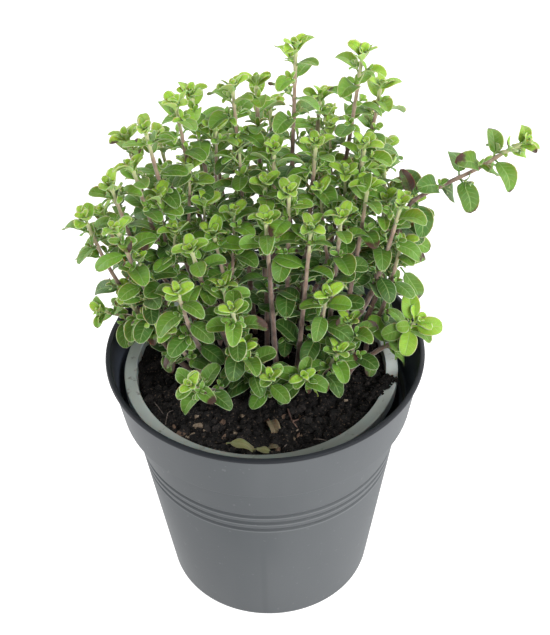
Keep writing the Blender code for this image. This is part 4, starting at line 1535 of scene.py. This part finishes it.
def add_clod(growth, place, size, draw, slot=0, stretch=(1, 1, 0.7)):
    """An uneven crumb of peat or bark."""
    bm = bmesh.new()
    bmesh.ops.create_icosphere(bm, subdivisions=1 if size < COARSE_CLOD else 2, radius=1.0)
    seed = Vector((draw.uniform(0, 99), draw.uniform(0, 99), draw.uniform(0, 99)))
    turn = Matrix.Rotation(draw.uniform(0, 6.3), 3, "Z")
    turn = turn @ Matrix.Rotation(draw.uniform(-CLOD_TILT, CLOD_TILT), 3, "X")
    points = []
    for vertex in bm.verts:
        uneven = sum(share * noise.noise(vertex.co * scale + seed) for share, scale in CLOD_NOISES)
        co = vertex.co * (1 + uneven)
        co = Vector((co.x * stretch[0], co.y * stretch[1], co.z * stretch[2])) * size
        points.append(place + turn @ co)
    faces = [[v.index for v in face.verts] for face in bm.faces]
    bm.free()
    growth.add(points, faces, slot, chance=draw.random())


def bark_chips(materials):
    """Bits of bark on the soil, the seen ones in their places, and peat spilled on the pale flange."""
    growth = Growth()
    draw = random.Random("bark")
    for (x, y), size, pale in CRUMBS:
        stretch = (1.0, draw.uniform(*CRUMB_STRETCH), CRUMB_FLATNESS)
        add_clod(growth, on_soil(x, y, CRUMB_LIFT), size * MM / 10, draw, pale, stretch)
    for _ in range(CHIPS):
        x, y = scattered(draw, CHIP_REACH)
        size, slot = draw.uniform(*CHIP_SIZES), draw.randrange(2)
        stretch = (1.0, draw.uniform(*CHIP_STRETCH), CHIP_FLATNESS)
        add_clod(growth, on_soil(x / MM, y / MM, CHIP_LIFT), size, draw, slot, stretch)
    for _ in range(SPILL_CLODS):
        out, turn, part = math.sqrt(draw.random()), draw.uniform(0, 2 * math.pi), draw.random()
        x, y = Vector(SPILL_START).lerp(Vector(SPILL_END), part)
        x += SPILL_REACH * out * math.cos(turn)
        y += SPILL_REACH * out * math.sin(turn)
        height = SPILL_TOP + SPILL_HEAP * (1 - out) * draw.random()
        add_clod(growth, Vector((x * MM, y * MM, height)), draw.uniform(*SPILL_SIZES), draw, 2)
    growth.piece("Bark_chips", materials, "peat_soil", smooth=False)


def fallen_leaves(material):
    """Dead and yellowed leaves that lie on the soil."""
    growth = Growth()
    for number, ((x, y), heading, length, width, fold, curl, age) in enumerate(FALLEN_LEAVES):
        along = Matrix.Rotation(math.radians(heading), 3, "Z") @ Vector(FALLEN_WAY).normalized()
        normal = level_with(Vector((0, 0, 1)), along)
        leaf = Leaf(on_soil(x, y, FALLEN_LIFT), along, normal, length * MM, width * MM)
        look = look_of(leaf, 5, f"fallen-{number}")
        look = look._replace(fold=fold, curl=curl, age=age, **FALLEN_FORM)
        add_blade(growth, leaf, look)
    growth.piece("Fallen_leaves", [material, material], "marjoram_leaf")


def thin_root(growth, points, radius, slot=0):
    """A thin round fibre through the points."""
    points = np.array(points, float)
    reach = lengths_along(points)
    centres = smooth_points(points, reach, np.linspace(0, reach[-1], 4 * len(points)))
    rings = []
    for i, (centre, tangent) in enumerate(zip(centres, np.gradient(centres, axis=0))):
        tangent = Vector(tangent).normalized()
        one = tangent.orthogonal().normalized()
        two = tangent.cross(one)
        size = radius * (1 - FIBRE_TAPER * (i / len(centres)) ** 2)
        rings += [Vector(centre) + one * x + two * y for x, y in circle(FIBRE_SIDES, size)]
    end = tuple(range(len(rings) - FIBRE_SIDES, len(rings)))
    growth.add(rings, [*tube_faces(len(centres), FIBRE_SIDES), end], slot)


def roots(materials):
    """Thin pale roots and a reddish twig that lie on the soil, the seen ones in their places."""
    growth = Growth()
    draw = random.Random("roots")
    seen = [(run, ROOT_LIFTS, ROOT_RADIUS, 0) for run in ROOT_RUNS]
    seen += [(run, TWIG_LIFTS, TWIG_RADIUS, 1) for run in TWIGS]
    for run, lifts, radius, slot in seen:
        thin_root(growth, [on_soil(x, y, draw.uniform(*lifts)) for x, y in run], radius, slot)
    for _ in range(ROOTS):
        x, y = scattered(draw, ROOT_REACH)
        heading = draw.uniform(0, 2 * math.pi)
        points = []
        for _ in range(4):
            points.append(on_soil(x / MM, y / MM, draw.uniform(*FIBRE_LIFTS)))
            heading += draw.uniform(-FIBRE_BEND, FIBRE_BEND)
            stride = draw.uniform(*FIBRE_STRIDES)
            x, y = x + stride * math.cos(heading), y + stride * math.sin(heading)
        thin_root(growth, points, draw.uniform(*FIBRE_RADII))
    growth.piece("Roots", materials, "peat_soil")


# Studio


def pointed(name, data, place, way):
    """Puts a light or the camera in the scene, pointed along a way."""
    obj = bpy.data.objects.new(name, data)
    obj.location = place
    obj.rotation_mode = "QUATERNION"
    obj.rotation_quaternion = way.to_track_quat("-Z", "Y")
    bpy.context.scene.collection.objects.link(obj)
    return obj


def studio():
    world = bpy.data.worlds.new("Studio")
    bpy.context.scene.world = world
    world.use_nodes = True
    sky = Nodes(world.node_tree)
    direction = sky.node("TexCoord").outputs["Generated"]
    height = sky.node("SeparateXYZ", {0: direction}).outputs[2]
    color = sky.mixed(sky.ramped(height, WALL_TOP, CEILING_START), WALL_COLOR, CEILING_COLOR)
    sky.put(color, sky.tree.nodes["Background"].inputs["Color"])

    bm = bmesh.new()
    bmesh.ops.create_grid(bm, x_segments=1, y_segments=1, size=FLOOR_SIZE / 2)
    mesh = bpy.data.meshes.new("Floor")
    bm.to_mesh(mesh)
    bm.free()
    look = Surface("Pale_floor", 0.9, Specular_IOR_Level=0.1)
    look.wear(Base_Color=FLOOR_COLOR, Emission_Color=WALL_COLOR, Emission_Strength=FLOOR_GLOW)
    mesh.materials.append(look.material)
    floor = bpy.data.objects.new("Floor", mesh)
    bpy.context.scene.collection.objects.link(floor)

    for name, place, size, power in SOFT_BOXES:
        light = bpy.data.lights.new(name, "AREA")
        light.shape = "DISK"
        light.size = size
        light.energy = power
        pointed(name, light, place, LIGHT_TARGET - Vector(place))
    bpy.context.scene.view_settings.view_transform = "Standard"


def camera():
    data = bpy.data.cameras.new("Camera")
    data.sensor_width = CAMERA_SENSOR
    data.lens = CAMERA_SENSOR * FOCAL_PIXELS / IMAGE_HEIGHT
    data.clip_start, data.clip_end = CAMERA_CLIP
    back = Vector((0, -math.cos(CAMERA_ELEVATION), math.sin(CAMERA_ELEVATION)))
    obj = pointed("Camera", data, CAMERA_TARGET + back * CAMERA_DISTANCE, -back)
    obj.rotation_quaternion = obj.rotation_quaternion @ Quaternion((0, 0, 1), CAMERA_ROLL)
    bpy.context.scene.camera = obj


def main():
    camera()
    studio()
    cover_pot()
    nursery_pot()
    peat = soil_material()
    soil_piece([peat])
    bark = [debris_material(*look) for look in BARK_LOOKS]
    bark_chips([*bark, peat])
    roots([debris_material(*look) for look in ROOT_LOOKS])
    fallen_leaves(leaf_material(*FALLEN_LOOK))
    leafy_stems()


main()
